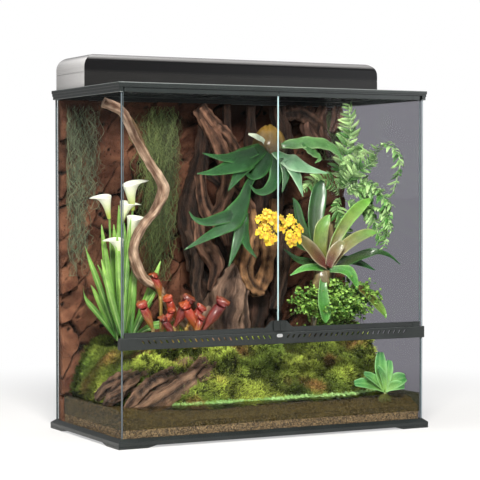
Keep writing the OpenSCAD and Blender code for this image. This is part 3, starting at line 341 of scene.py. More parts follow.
def hoodPaint(look):
    # gloss black; the two end walls are painted pale, fading from front to back, as a painted reflection, and a
    # painted highlight line runs where the top rolls over to the front
    material, tree, coord = newMaterial("hoodPaint")
    up = axisOf(tree, coord["Normal"], 2)
    end = ramp(tree, maths(tree, "ABSOLUTE", axisOf(tree, coord["Normal"], 0)), 0.55, 0.8)
    band = maths(tree, "MULTIPLY", ramp(tree, up, 0.25, 0.6), ramp(tree, up, 0.86, 0.97, 1.0, 0.0))
    depth = ramp(tree, axisOf(tree, coord["Object"], 1), look["front"], look["back"])
    lower = ramp(tree, axisOf(tree, coord["Object"], 2), look["turn"] - 0.004, look["turn"] + 0.004, 1.0, 0.0)
    grain = put(tree, "TexNoise", {"Vector": coord["Object"], "Scale": 500.0, "Detail": 4.0})
    colour = blendColours(tree, lower, look["black"], look["low"])
    colour = blendColours(tree, band, colour, look["line"])
    colour = blendColours(tree, end, colour, blendColours(tree, depth, look["endFront"], look["endBack"]))
    shown(tree, put(tree, "BsdfPrincipled", {"Base Color": colour,
        "Roughness": ramp(tree, grain, 0.0, 1.0, 0.28, 0.42), "Specular IOR Level": 0.22}))
    return material


hardwareLooks = dict(
    frame=dict(dark=(0.01, 0.013, 0.013), light=(0.018, 0.023, 0.023), broad=8.0, fine=900.0, rough=(0.24, 0.36),
        lift=0.00004, specular=0.4),
    strip=dict(dark=(0.012, 0.015, 0.015), light=(0.02, 0.024, 0.024), broad=12.0, fine=1100.0, rough=(0.24, 0.36),
        lift=0.00004, specular=0.4),
    hood=dict(dark=(0.006, 0.006, 0.007), light=(0.012, 0.012, 0.013), broad=5.0, fine=500.0, rough=(0.22, 0.3),
        lift=0.00002, specular=0.28),
    socket=dict(dark=(0.7, 0.69, 0.64), light=(0.82, 0.81, 0.77), broad=30.0, fine=800.0, rough=(0.4, 0.5),
        lift=0.00005),
    lamp=dict(dark=(0.82, 0.82, 0.79), light=(0.92, 0.92, 0.9), broad=20.0, fine=500.0, rough=(0.18, 0.26),
        lift=0.00002, coat=0.4),
    chrome=dict(dark=(0.82, 0.83, 0.84), light=(0.9, 0.9, 0.91), broad=40.0, fine=900.0, rough=(0.05, 0.12),
        lift=0.00001, metal=1.0),
    pin=dict(dark=(0.5, 0.51, 0.52), light=(0.66, 0.67, 0.68), broad=60.0, fine=1500.0, rough=(0.25, 0.4),
        lift=0.00002, metal=1.0),
    mesh=dict(dark=(0.025, 0.027, 0.028), light=(0.06, 0.062, 0.064), broad=90.0, fine=2500.0, rough=(0.4, 0.6),
        lift=0.0002, metal=0.3),
    reflector=dict(dark=(0.72, 0.73, 0.74), light=(0.85, 0.86, 0.87), broad=6.0, fine=700.0, rough=(0.16, 0.3),
        lift=0.00004, metal=1.0))
# each frame's finish with a painted highlight rim of this height along its top, and where given along its foot
for key, node, base, highlightTop, highlightFoot in (("topFrame", "top_frame", "frame", 0.0015, 0.0012),
        ("ventFrame", "vent_strip", "strip", 0.0012, 0), ("baseFrame", "base_frame", "frame", 0.001, 0)):
    low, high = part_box(node)[0][2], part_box(node)[1][2]
    rims = [(high - highlightTop, high + 0.001)] + ([(low - 0.001, low + highlightFoot)] if highlightFoot else [])
    hardwareLooks[key] = dict(hardwareLooks[base], rims=rims, rim=(0.2, 0.22, 0.22))


def midOf(node, axis):
    low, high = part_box(node)
    return (low[axis] + high[axis]) / 2


# each pane's edge colour, pale edge line, seam and glow are painted shade, painted highlights and a painted glow on
# its ground edges
paneLooks = dict(
    frontGlass=dict(axis=1, middle=midOf("left_door_glass", 1), body=(0.985, 0.995, 0.99),
        shadow=(0.97, 0.985, 0.98), edge=(0.01, 0.014, 0.016), line=(0.22, 0.3, 0.33), seam=(0.62, 0.8, 0.82),
        glow=0.2, mirror=0.07),
    backGlass=dict(axis=1, middle=midOf("back_pane", 1), body=(0.97, 0.99, 0.985), shadow=(0.96, 0.98, 0.975),
        edge=(0.012, 0.018, 0.02), line=(0.06, 0.09, 0.1), glow=0.05, mirror=0.1),
    sideGlass=dict(axis=0, middle=midOf("left_pane", 0), body=(0.96, 0.965, 0.96), shadow=(0.97, 0.985, 0.98),
        edge=(0.01, 0.012, 0.014), line=(0.12, 0.15, 0.17), glow=0.05, mirror=0.05),
    smokeGlass=dict(axis=0, middle=midOf("right_pane", 0), body=(0.45, 0.44, 0.47), shadow=(0.6, 0.6, 0.62),
        edge=(0.012, 0.014, 0.016), line=(0.3, 0.36, 0.4), glow=0.1, mirror=0.22),
    floorGlass=dict(axis=2, middle=midOf("bottom_pane", 2), body=(0.96, 0.98, 0.975), shadow=(0.93, 0.96, 0.955),
        edge=(0.1, 0.15, 0.16), line=(0.3, 0.4, 0.4), glow=0.0, mirror=0.2))
hoodLow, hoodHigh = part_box("hood_shell")
# the pale end-wall tones and the line colour are a painted reflection and a painted highlight
hoodLook = dict(front=hoodLow[1], back=hoodHigh[1], turn=midOf("hood_shell", 2), black=(0.002, 0.002, 0.0025),
    low=(0.012, 0.012, 0.012), line=(0.2, 0.2, 0.205), endFront=(0.66, 0.66, 0.67), endBack=(0.4, 0.4, 0.41))
finishes = {key: surface(key + "Finish", look) for key, look in hardwareLooks.items()}
finishes["hoodShell"] = hoodPaint(hoodLook)
finishes.update({key: paneGlass(key, look) for key, look in paneLooks.items()})
nodesByFinish = dict(baseFrame=["base_frame"], topFrame=["top_frame"], ventFrame=["vent_strip"],
    hoodShell=["hood_shell"], frame=["rear_ledge", "screen_frame", "left_inlet_slide", "right_inlet_slide",
    "left_door_top_rail", "right_door_top_rail"], strip=["left_door_keeper", "right_door_keeper",
    "left_door_bottom_rail", "right_door_bottom_rail", "left_door_handle", "right_door_handle"],
    hood=["switch_housing", "hood_switch", "power_gland"], reflector=["hood_reflector"], socket=["lamp_sockets"],
    lamp=["lamps"], mesh=["screen_mesh"], chrome=["lock_knob"], pin=["lock_tongue", "hinge_pins"],
    floorGlass=["bottom_pane"], sideGlass=["left_pane"], smokeGlass=["right_pane"], backGlass=["back_pane"],
    frontGlass=["front_lower_pane", "left_door_glass", "right_door_glass"])
for key, nodes in nodesByFinish.items():
    for node in nodes:
        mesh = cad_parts[node].data
        mesh.materials.clear()
        mesh.materials.append(finishes[key])
print("hardware finished")

# inner faces of the glass, in metres
innerLeft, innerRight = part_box("left_pane")[1][0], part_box("right_pane")[0][0]
innerFront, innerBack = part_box("front_lower_pane")[1][1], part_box("back_pane")[0][1]
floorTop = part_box("bottom_pane")[1][2]
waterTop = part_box("water")[1][2]
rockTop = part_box("rock_background")[1][2]
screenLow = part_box("screen_mesh")[0][2]
hair = 0.0003  # clearance between a visible piece and the glass
# low end, high end and softness of the room for the planting along x, y and z
roomInside = ((innerLeft + 0.0015, innerRight - 0.0015, 0.02), (innerFront + 0.0015, innerBack - 0.002, 0.006),
    (floorTop + 0.001, screenLow - 0.002, 0.006))
flatFrom = 0.0001  # a triangle of more square metres than this is shaded flat

rock = dict(cols=310, rows=300, slabs=105, thick=0.012, relief=0.024, crack=0.0065, crackDepth=0.02,
    red=(0.12, 0.045, 0.027), pale=(0.27, 0.12, 0.07), shade=(0.006, 0.004, 0.003))


def nearestTwo(p, sites):  # distances to the two nearest sites, and the nearest one's index
    square = ((p[:, None, :] - sites[None]) ** 2).sum(-1)
    order = np.argpartition(square, 1, axis=1)[:, :2]
    pair = np.take_along_axis(square, order, 1)
    swap = pair[:, 0] > pair[:, 1]
    first = np.where(swap, order[:, 1], order[:, 0])
    return np.sqrt(pair.min(1)), np.sqrt(pair.max(1)), first


def rockRelief(x, z):
    # tilted slabs, one to each cell of a slanting, warped cell pattern, with deep cracks where two cells meet
    rng = dice(11)
    p = stacked(x, z).reshape(-1, 2)
    warp = stacked(waves(p, 0.12, 1), waves(p, 0.12, 2)) * 0.011 + stacked(waves(p, 0.025, 3),
        waves(p, 0.025, 4)) * 0.003
    slant = array([[1.04, -0.78], [0.34, 0.46]])
    q = (p + warp) @ slant.T
    sites = (stacked(rng.uniform(innerLeft, innerRight, rock["slabs"]),
        rng.uniform(0, rockTop, rock["slabs"]))) @ slant.T
    near, second, which = nearestTwo(q, sites)
    tilt = rng.normal(0, 0.34, (rock["slabs"], 2))
    level = rng.uniform(0.25, 0.95, rock["slabs"])
    slab = level[which] + ((q - sites[which]) * tilt[which]).sum(-1) / rock["relief"]
    crack = clip(1 - (second - near) / rock["crack"], 0, 1) ** 1.2 * clip(0.5 + 0.9 * waves(p, 0.16, 5), 0, 1)
    pits = clip(waves(p, 0.014, 12) * 1.6 - 1.15, 0, 1)
    rough = 0.06 * waves(p, 0.03, 6) + 0.04 * waves(p, 0.011, 7) + 0.03 * waves(p, 0.005, 8)
    height = rock["thick"] + rock["relief"] * clip(slab + rough, 0, 1) - rock["crackDepth"] * crack - 0.006 * pits
    # painted shade in the cracks, the pits and the lowest slabs; the colour also darkens towards the top
    shade = clip(crack * 1.7 + 0.9 * pits + 0.3 * (slab < 0.1) + clip(p[:, 1] - 0.55, 0, 1) * 1.5, 0, 1)
    pale = clip(0.75 - 0.6 * p[:, 1] + 0.5 * waves(p, 0.08, 9) + 0.4 * waves(p, 0.02, 10), 0, 1)
    tint = mixed(mixed(rock["red"], rock["pale"], pale), rock["shade"], shade)
    return maximum(height, 0.003).reshape(x.shape), tint.reshape(*x.shape, 3)


rockFinish = surface("rockFinish", dict(dark=(0.72, 0.7, 0.68), light=(1.15, 1.12, 1.1), broad=26.0, fine=240.0,
    rough=(0.7, 0.95), lift=0.004, bump=0.9, tinted=True, specular=0.2, specks=(0.25, 0.2, 0.18)))
gridZ, gridX = np.meshgrid(linspace(floorTop, rockTop, rock["rows"]),
    linspace(innerLeft + hair, innerRight - hair, rock["cols"]), indexing="ij")
depth, rockTint = rockRelief(gridX, gridZ)
rockFront = stacked(gridX, innerBack - depth, gridZ)
makePiece("rock_relief", [reliefBlock(rockFront, 1, innerBack - hair, stacked(gridX, gridZ), rockTint)], rockFinish,
    replaces=["rock_background"], held=False)

ground = dict(cols=220, rows=90, gravel=0.058, mossRise=0.155)
rockFace = 0.1792  # y of the rock's relief, where the ground ends


def gravelTop(x, y):  # the gravel climbs from the front pane to the shore, and towards the left pane
    climb = 0.024 * sin(pi / 2 * clip((y - innerFront) / 0.07, 0, 1))
    side = 0.016 * clip((-0.34 - x) / 0.08, 0, 1)
    return minimum(ground["gravel"] + climb + side, waterTop - 0.004) + 0 * x


def shoreLine(x):  # front edge of the moss, bending back towards both ends
    s = x / innerRight
    return (-0.165 + 0.01 * sin(radians(340 * s + 40)) + 0.1 * clip((s - 0.36) / 0.64, 0, 1) ** 1.5 + 0.085
        * clip((-s - 0.55) / 0.45, 0, 1) ** 1.5)


def mossTop(x, v):  # height of the moss from its shore, v = 0, to the rock, v = 1
    s = radians(180 * x / innerRight)
    dome = 0.78 + 0.16 * cos(2 * s + 0.7) + 0.1 * sin(5 * s)
    rise = sin(pi / 2 * minimum(1, v * 2.1)) ** 0.75
    return waterTop + 0.005 + ground["mossRise"] * dome * rise + 0.04 * v ** 1.5 + 0.006 * sin(7 * s) * sin(8.7 * v)


mossEnds = (innerLeft + 0.022, innerRight - 0.016)


def mossCushion(x, v):  # height of the rounded clumps, with narrow valleys between them
    p = stacked(x, shoreLine(x) + (rockFace - shoreLine(x)) * v, mossTop(x, v))
    return np.sqrt(abs(waves(p, 0.11, 20))) * 0.034 + abs(waves(p, 0.045, 21)) * 0.018 + waves(p, 0.016, 22) * 0.003


def mossSurface(x, v):  # the moss with its clumps: a place for each pair of x and v
    y = shoreLine(x) + (rockFace - shoreLine(x)) * v
    z = mossTop(x, v)
    cushions = mossCushion(x, v)
    edge = clip(v * 7, 0, 1)
    ends = sin(pi / 2 * clip((x - mossEnds[0]) / 0.075, 0, 1)) * sin(pi / 2 * clip((mossEnds[1] - x) / 0.05, 0, 1))
    low = gravelTop(x, y) + 0.002
    z = low + (z + (cushions - 0.034) * edge - low) * ends ** 0.7 * sin(pi / 2 * clip(v * 12 + 0.12, 0, 1))
    return stacked(x, y + (cushions - 0.016) * -0.7 * edge, z)


mossColours = dict(bright=(0.5, 0.58, 0.1), green=(0.17, 0.26, 0.05), dry=(0.36, 0.2, 0.07),
    deep=(0.006, 0.009, 0.003))


def mossTint(p, seed=30):
    bright = clip(0.5 + 0.6 * waves(p, 0.09, seed), 0, 1)
    dry = clip(waves(p, 0.06, seed + 1) * 1.4 - 0.55, 0, 1)
    return mixed(mixed(mossColours["green"], mossColours["bright"], bright), mossColours["dry"], dry)


mossFinish = surface("mossFinish", dict(dark=(0.65, 0.65, 0.6), light=(1.15, 1.15, 1.1), broad=90.0, fine=500.0,
    rough=(0.8, 0.95), lift=0.002, bump=0.8, tinted=True, specular=0.15))
cols, rows = np.meshgrid(linspace(*mossEnds, ground["cols"]), linspace(0, 1, ground["rows"]) ** 1.2)
mossBed = mossSurface(cols, rows)
# painted shade: the bed under the tufts is nine tenths the near-black deep tone
makePiece("moss_bed", [reliefBlock(mossBed, 2, floorTop + 0.001, stacked(cols, rows),
    mixed(mossTint(mossBed), mossColours["deep"], full(cols.shape, 0.9)))], mossFinish, replaces=["moss_mounds"])


def blade(length, width, bend):  # three-sided spike of ten faces that leans as it rises
    a = radians([90, 210, 330])
    ring = stacked(cos(a) * width, sin(a) * width, 0 * a)
    v = join([ring, ring * 0.8 + [bend * 0.3, 0, length * 0.55], [[bend, 0, length]]])
    f = array([[0, 1, 4], [0, 4, 3], [1, 2, 5], [1, 5, 4], [2, 0, 3], [2, 3, 5], [3, 4, 6], [4, 5, 6], [5, 3, 6],
        [0, 2, 1]])
    # painted shade: each blade is darker at its foot and lighter at its tip
    return part(v, f, tint=np.repeat([0.4, 0.85, 1.3], [3, 3, 1])[:, None] * np.ones((1, 3)))


def sprig(count, length, width, seed):  # a tuft of leaning blades round one foot
    rng = dice(seed)
    one = blade(length, width, length * 0.35)
    ups = stacked(rng.normal(0, 0.55, count), rng.normal(0, 0.55, count), np.ones(count))
    return scattered(one, rng.normal(0, width * 1.4, (count, 3)) * [1, 1, 0.2],
        turnsTo(ups, rng.uniform(0, 6.3, count)), rng.uniform(0.6, 1.2, count),
        rng.uniform(0.8, 1.2, (count, 1)) * np.ones((1, 3)))


def mossTufts(count, xs, vs, seed):
    rng = dice(seed)
    x = rng.uniform(*xs, count)
    v = rng.uniform(0, 1, count) ** 1.6 * (vs[1] - vs[0]) + vs[0]
    p = mossSurface(x, v)
    step = 0.004
    dx = mossSurface(x + step, v) - p
    dv = mossSurface(x, v + 0.01) - p
    n = unit(cross(dx, dv))
    n = n * np.sign(n[:, 2:3]) + [0, -0.15, 0.35]
    # painted shade and light: tufts darken in the valleys between the clumps and lighten on their tops
    return scattered(sprig(6, 0.0145, 0.0011, 5), p - unit(n) * 0.001, turnsTo(n, rng.uniform(0, 6.3, count)),
        rng.uniform(0.6, 1.25, count), mossTint(p) * (rng.uniform(0.35, 1.7, count)
        * clip(mossCushion(x, v) / 0.034, 0.1, 1.2) ** 1.6)[:, None])


for area, count, xs, vs, seed in (("left", 3000, (mossEnds[0], -0.1), (0.0, 0.75), 41),
        ("side", 2200, (mossEnds[0], -0.33), (0.2, 1.0), 44), ("right", 3000, (-0.1, 0.16), (0.0, 0.6), 42),
        ("far", 3000, (0.14, mossEnds[1]), (0.0, 0.6), 43)):
    makePiece("moss_tufts_" + area, [mossTufts(count, xs, vs, seed)], mossFinish)

gravelLook = dict(pebbles=9500, front=4600, side=2000, size=(0.002, 0.0046), pale=(0.35, 0.24, 0.125),
    brown=(0.02, 0.012, 0.007))
gravelFinish = surface("gravelFinish", dict(dark=(0.7, 0.68, 0.65), light=(1.15, 1.12, 1.08), broad=160.0,
    fine=700.0, rough=(0.55, 0.8), lift=0.0012, bump=0.9, tinted=True, specks=(0.16, 0.09, 0.05)))


def pebble(seed):  # a stone of eight faces, each corner pushed in or out a little
    rng = dice(seed)
    v = join([np.eye(3), -np.eye(3)]) * [1, 0.8, 0.65] + rng.normal(0, 0.12, (6, 3))
    return part(v, array([[0, 1, 2], [1, 3, 2], [3, 4, 2], [4, 0, 2], [1, 0, 5], [3, 1, 5], [4, 3, 5], [0, 4, 5]]))


def gravelPlaces(count, seed):
    rng = dice(seed)
    x = rng.uniform(innerLeft + 0.005, innerRight - 0.005, count)
    reach = shoreLine(x) + 0.02 - innerFront
    y = innerFront + 0.0045 + rng.uniform(0, 1, count) ** 1.5 * reach
    return stacked(x, y, gravelTop(x, y))


across, back = np.meshgrid(linspace(innerLeft + 0.003, innerRight - 0.003, 120),
    linspace(innerFront + 0.003, rockFace, 24))
bed = stacked(across, back, gravelTop(across, back))
bed[..., 2] += waves(bed, 0.012, 51) * 0.0012
rng = dice(52)
spots = gravelPlaces(gravelLook["pebbles"], 53)
count = gravelLook["front"]
x = rng.uniform(innerLeft + 0.004, innerRight - 0.004, count)
spots = join([spots, stacked(x, full(count, innerFront + 0.0035),
    rng.uniform(floorTop + 0.003, gravelTop(x, innerFront)))])
count = gravelLook["side"]
y = rng.uniform(innerFront + 0.004, rockFace - 0.004, count)
spots = join([spots, stacked(full(count, innerLeft + 0.0035), y,
    rng.uniform(floorTop + 0.003, gravelTop(innerLeft, y)))])
pick = rng.uniform(0, 1, len(spots))
stones = scattered(pebble(54), spots, turnsTo(rng.normal(size=(len(spots), 3)), rng.uniform(0, 6.3, len(spots))),
    rng.uniform(*gravelLook["size"], len(spots)), mixed(gravelLook["brown"], gravelLook["pale"], pick ** 0.7))
makePiece("gravel", [reliefBlock(bed, 2, floorTop + 0.0005, stacked(across, back), array([0.07, 0.045, 0.025])),
    stones], gravelFinish, replaces=["gravel_bed"], smooth=False, held=False)

waterLook = dict(body=(0.45, 0.46, 0.29), shadow=(0.7, 0.68, 0.5), mirror=0.3)
material, tree, coord = newMaterial("stillWater")
ripple = put(tree, "TexNoise", {"Vector": coord["Object"], "Scale": 30.0, "Detail": 3.0})
bump = put(tree, "Bump", {"Height": ripple, "Strength": 0.3, "Distance": 0.0015})
shown(tree, clearBody(tree, waterLook, bump))
share, across = np.meshgrid(linspace(0, 1, 14), linspace(innerLeft + 0.001, innerRight - 0.001, 120))
front = innerFront + 0.0006
pond = stacked(across, front + (rockFace - 0.001 - front) * share, full(across.shape, waterTop))
pond[..., 2] += waves(pond[..., :2], 0.05, 55) * 0.0006
makePiece("pond", [reliefBlock(pond, 2, floorTop + 0.03, stacked(across, share), (1, 1, 1))], material,
    replaces=["water"], held=False)


def length(path):
    return join([[0], np.cumsum(np.linalg.norm(np.diff(path, axis=0), axis=-1))])


def woodLimb(points, look, seed):
    # a swept ring whose radius carries slowly turning flutes, knots and bark; its colour follows the same relief,
    # with painted shade in the hollows and painted highlights on the ridges
    rng = dice(seed)
    p = through(points, look["rings"])
    path, radius = p[:, :3] / 1000, p[:, 3] / 1000
    s = length(path)[:, None]
    way, side, up = along(path, look["lean"])
    a = linspace(0, 2 * pi, look["sides"], endpoint=False)[None, :]
    spoke = side[:, None] * cos(a)[..., None] + up[:, None] * sin(a)[..., None]
    on = path[:, None] + spoke * radius[:, None, None]
    turn = look["twist"] * s + 0.8 * sin(s * 14 + seed)
    flutes = sin(look["flutes"] * a + turn + rng.uniform(0, 6)) + 0.5 * sin((2 * look["flutes"] + 1) * a - turn)
    knots, bark = waves(on, 0.07, seed + 1), waves(on * [1, 1, 0.45], 0.011, seed + 2)
    relief = look["flute"] * flutes + look["knot"] * knots + look["bark"] * bark
    rings = path[:, None] + spoke * (radius[:, None, None] * (1 + relief[..., None]))
    tone = clip(0.5 + 0.35 * flutes + 0.35 * bark + 0.2 * knots, 0, 1)
    uv = stacked(a * radius[:, None].mean() + 0 * s, s + 0 * a)
    return loft(rings, uv, mixed(look["dark"], look["light"], tone))


# in every wood look the dark tone goes to the hollows and the light tone to the ridges: painted shade and painted
# highlights
barkLook = dict(rings=130, sides=30, lean=(0, 1, 0), flutes=4, flute=0.13, knot=0.26, bark=0.14, twist=9.0,
    dark=(0.035, 0.02, 0.014), light=(0.22, 0.125, 0.08))
# deep, for the roots set back, is a darker copy of the bark and front a lighter copy: painted shade and painted
# light
rootTones = dict(
    deep=dict(dark=(0.01, 0.006, 0.005), light=(0.09, 0.045, 0.03)),
    front=dict(dark=(0.03, 0.014, 0.01), light=(0.34, 0.18, 0.12)),
    stump=dict(dark=(0.05, 0.022, 0.012), light=(0.5, 0.27, 0.13)),
    block=dict(dark=(0.04, 0.022, 0.018), light=(0.42, 0.27, 0.2)),
    plate=dict(dark=(0.04, 0.018, 0.014), light=(0.24, 0.13, 0.1)),
    dark=dict(dark=(0.014, 0.009, 0.007), light=(0.12, 0.07, 0.05)))
barkFinish = surface("barkFinish", dict(dark=(0.6, 0.58, 0.55), light=(1.3, 1.25, 1.2), broad=45.0, fine=320.0,
    rough=(0.55, 0.85), lift=0.003, bump=0.9, tinted=True, specular=0.3, streaks=(120.0, 15.0, 1.0),
    groove=(0.24, 0.19, 0.17)))
trunkRoots = [
    [[-75, 95, 240, 30], [-50, 90, 350, 34], [-80, 98, 470, 30], [-95, 110, 600, 26], [-60, 112, 740, 20],
        [-50, 112, 888, 10]],
    [[5, 80, 235, 42], [-15, 78, 330, 44], [20, 88, 430, 38], [10, 100, 560, 30], [25, 110, 700, 22],
        [15, 112, 888, 10]],
    [[75, 85, 235, 32], [95, 84, 340, 30], [70, 92, 460, 30], [110, 104, 590, 30], [100, 110, 720, 24],
        [95, 112, 888, 12]],
    [[160, 95, 235, 26], [150, 96, 350, 26], [175, 104, 470, 26], [160, 110, 600, 30], [200, 112, 740, 26],
        [180, 112, 888, 24]],
    [[-50, 90, 700, 14], [30, 70, 620, 16], [110, 80, 500, 16], [60, 62, 400, 14]],
    [[190, 112, 868, 20], [250, 108, 872, 24], [320, 104, 815, 20], [356, 112, 750, 12]]]
frontRoots = [
    [[[-76, 96, 880, 18], [-44, 92, 837, 21], [0, 88, 803, 19], [32, 86, 765, 12], [40, 86, 736, 6]], "front"],
    [[[-67, 92, 852, 14], [-31, 84, 790, 19], [-10, 78, 735, 21], [-3, 72, 673, 20], [-19, 66, 611, 19],
        [-52, 62, 576, 14]], "front"],
    [[[-76, 90, 693, 14], [-72, 80, 624, 17], [-49, 70, 569, 19], [-21, 62, 535, 16], [-10, 58, 500, 8]], "front"],
    [[[-94, 70, 570, 14], [-93, 56, 515, 21], [-67, 46, 477, 26], [-52, 40, 439, 23], [-64, 38, 398, 14],
        [-71, 38, 375, 7]], "front"],
    [[[64, 60, 596, 16], [62, 48, 541, 24], [39, 36, 479, 26], [28, 28, 424, 24], [53, 22, 381, 21],
        [82, 20, 375, 17]], "stump"],
    [[[109, 56, 568, 14], [112, 44, 506, 20], [102, 30, 444, 19], [83, 22, 396, 19], [71, 20, 371, 14]], "stump"],
    [[[13, 50, 438, 14], [-10, 34, 411, 29], [-34, 20, 364, 44], [-45, 8, 311, 51], [-52, 0, 257, 51]], "block"],
    [[[11, 40, 445, 10], [17, 24, 390, 18], [8, 12, 336, 19], [7, 4, 268, 21]], "block"],
    [[[-85, 10, 325, 17], [-110, -4, 293, 20], [-119, -12, 253, 17]], "block"],
    [[[288, 112, 888, 12], [271, 104, 852, 16], [274, 98, 816, 15], [300, 94, 786, 7]], "plate"],
    [[[331, 112, 889, 13], [314, 104, 849, 17], [317, 98, 813, 14], [339, 94, 788, 6]], "plate"],
    [[[376, 112, 890, 14], [370, 106, 854, 16], [352, 102, 818, 9]], "plate"],
    [[[-4, 80, 680, 10], [38, 70, 638, 13], [65, 62, 589, 14], [67, 56, 541, 13]], "front"],
    [[[154, 80, 624, 13], [138, 66, 554, 14], [114, 54, 498, 14]], "stump"],
    [[[208, 90, 595, 13], [181, 70, 497, 16], [165, 56, 413, 15], [132, 40, 317, 17]], "dark"],
    [[[-112, 80, 542, 10], [-99, 60, 460, 14], [-111, 50, 379, 14], [-91, 30, 297, 14]], "dark"]]
limbs = [woodLimb(path, barkLook | rootTones["deep"], 61 + k) for k, path in enumerate(trunkRoots)]
limbs += [woodLimb(path, barkLook | rootTones[tone], 71 + k) for k, (path, tone) in enumerate(frontRoots)]
makePiece("trunk_bark", limbs, barkFinish, replaces=["root_trunk"])

buttressPaths = [
    [[-92, -40, 248, 19], [-130, -80, 205, 23], [-177, -110, 177, 24], [-261, -140, 134, 25], [-337, -150, 95, 21],
        [-387, -152, 80, 10]],
    [[-180, -60, 192, 17], [-266, -104, 164, 21], [-329, -126, 145, 21], [-382, -140, 105, 16],
        [-405, -144, 87, 8]],
    [[-258, -40, 188, 13], [-346, -90, 163, 20], [-411, -110, 130, 21], [-430, -75, 93, 13], [-430, -52, 75, 6]],
    [[-58, -50, 247, 14], [-98, -90, 218, 15], [-152, -124, 177, 17], [-194, -138, 155, 11]],
    [[-347, -60, 174, 12], [-416, -90, 154, 16], [-430, -22, 108, 12]]]
buttressLook = dict(barkLook, lean=(0, 0, 1), rings=100, dark=(0.03, 0.016, 0.012), light=(0.4, 0.24, 0.16))
makePiece("buttress_bark", [woodLimb(path, buttressLook, 81 + k) for k, path in enumerate(buttressPaths)],
    barkFinish, replaces=["buttress_roots"])

branchLook = dict(rings=200, sides=30, lean=(0, 1, 0), flutes=2, flute=0.15, knot=0.16, bark=0.07, twist=6.0,
    dark=(0.2, 0.11, 0.075), light=(0.85, 0.64, 0.5))
branchPaths = [[[-428, -62, 879, 12], [-374, -60, 855, 11], [-337, -56, 790, 10], [-292, -50, 723, 11],
    [-259, -44, 678, 13], [-250, -42, 648, 15], [-268, -38, 601, 14], [-303, -34, 561, 13], [-328, -28, 511, 15],
    [-324, -24, 466, 16], [-300, -20, 420, 15], [-250, -16, 385, 14], [-216, -12, 337, 13], [-169, -8, 287, 12],
    [-138, -6, 247, 11]]]
twigs = [[[-373, -58, 859, 4], [-341, -50, 828, 5], [-311, -44, 776, 5], [-286, -40, 731, 6], [-262, -38, 685, 5]],
    [[-319, -32, 467, 3], [-288, -30, 415, 5], [-243, -26, 378, 5], [-209, -20, 331, 4], [-164, -16, 286, 3]]]
branchFinish = surface("branchFinish", dict(dark=(0.7, 0.66, 0.62), light=(1.2, 1.17, 1.12), broad=60.0, fine=420.0,
    rough=(0.55, 0.8), lift=0.0022, bump=0.9, tinted=True, specular=0.3, streaks=(230.0, 16.0, 1.0),
    groove=(0.34, 0.22, 0.16)))
wood = [woodLimb(branchPaths[0], branchLook, 91)]
wood += [woodLimb(path, dict(branchLook, sides=16, rings=70, dark=(0.1, 0.055, 0.03), light=(0.4, 0.27, 0.16)),
    92 + k) for k, path in enumerate(twigs)]
makePiece("driftwood", wood, branchFinish, replaces=["driftwood_branch"])


def bend(foot, over, tip, count):  # the curve from foot to tip that leans on one point between
    t = linspace(0, 1, count)[:, None]
    return (1 - t) ** 2 * np.asarray(foot) + 2 * t * (1 - t) * np.asarray(over) + t ** 2 * np.asarray(tip)


def strap(spine, width, look):
    # a leaf on a spine: its half width is a power of sin(pi t), its edges lift, its midrib sinks, its margin ripples
    rows = len(spine)
    t = linspace(0, 1, rows)[:, None]
    s = linspace(-1, 1, look.get("across", 7))[None, :]
    way, side, up = along(spine, look["lean"])
    if np.ndim(width):
        half = maximum(width, 0.0006)[:, None] / 2
        swell = half / half.max()
    else:
        swell = sin(pi * (look["foot"] + (look["end"] - look["foot"]) * t ** look["full"])) ** look.get("round",
            0.8)
        half = width / 2 * swell
    ripple = look.get("ripple", 0) * sin(2 * pi * look.get("ripples", 5) * t + np.sign(s) * 0.9) * abs(s) ** 2
    lift = half * (look["cup"] * s ** 2 + ripple) - look.get("rib", 0.0) * half * exp(-(s / 0.12) ** 2)
    front = spine[:, None] + side[:, None] * (half * s)[..., None] + up[:, None] * lift[..., None]
    thick = look["thick"] * (1 - 0.85 * abs(s) ** 2) * (0.35 + 0.65 * swell)
    uv = stacked(half * s, length(spine)[:, None] + 0 * s)
    tint = mixed(look["base"], look["tip"], clip(t * 1.3 - 0.15, 0, 1) + 0 * s)
    if "margin" in look:
        tint = mixed(tint, look["margin"], abs(s) ** 6 + 0 * t)
    if "vein" in look:
        tint = mixed(tint, look["vein"], 0.7 * exp(-(s / 0.1) ** 2) + 0 * t)
    return thickSheet(front, front - up[:, None] * thick[..., None], uv, tint)


def leaf(row, look, count=22):  # a row is foot, bend and tip in millimetres, and the width
    foot, over, tip, width = row
    return strap(bend(mm(*foot), mm(*over), mm(*tip), count), width / 1000, look)


def ribbon(row, look, count=26):  # a row of points in millimetres, each with its own width
    p = through(row, count)
    return strap(p[:, :3] / 1000, p[:, 3] / 1000, look)


def leafSurface(name, rough, coat, veins, lift=0.0005):
    return surface(name, dict(dark=(0.62, 0.66, 0.62), light=(1.3, 1.26, 1.25), broad=34.0, fine=260.0, rough=rough,
        lift=lift, bump=0.45, tinted=True, coat=coat, coatRough=0.24, streaks=veins, specular=0.4,
        groove=(0.78, 0.82, 0.74)))


glossLeaf = leafSurface("glossLeaf", (0.24, 0.4), 0.7, (420.0, 12.0, 1.0), 0.0012)
softLeaf = leafSurface("softLeaf", (0.35, 0.55), 0.2, (500.0, 30.0, 1.0))

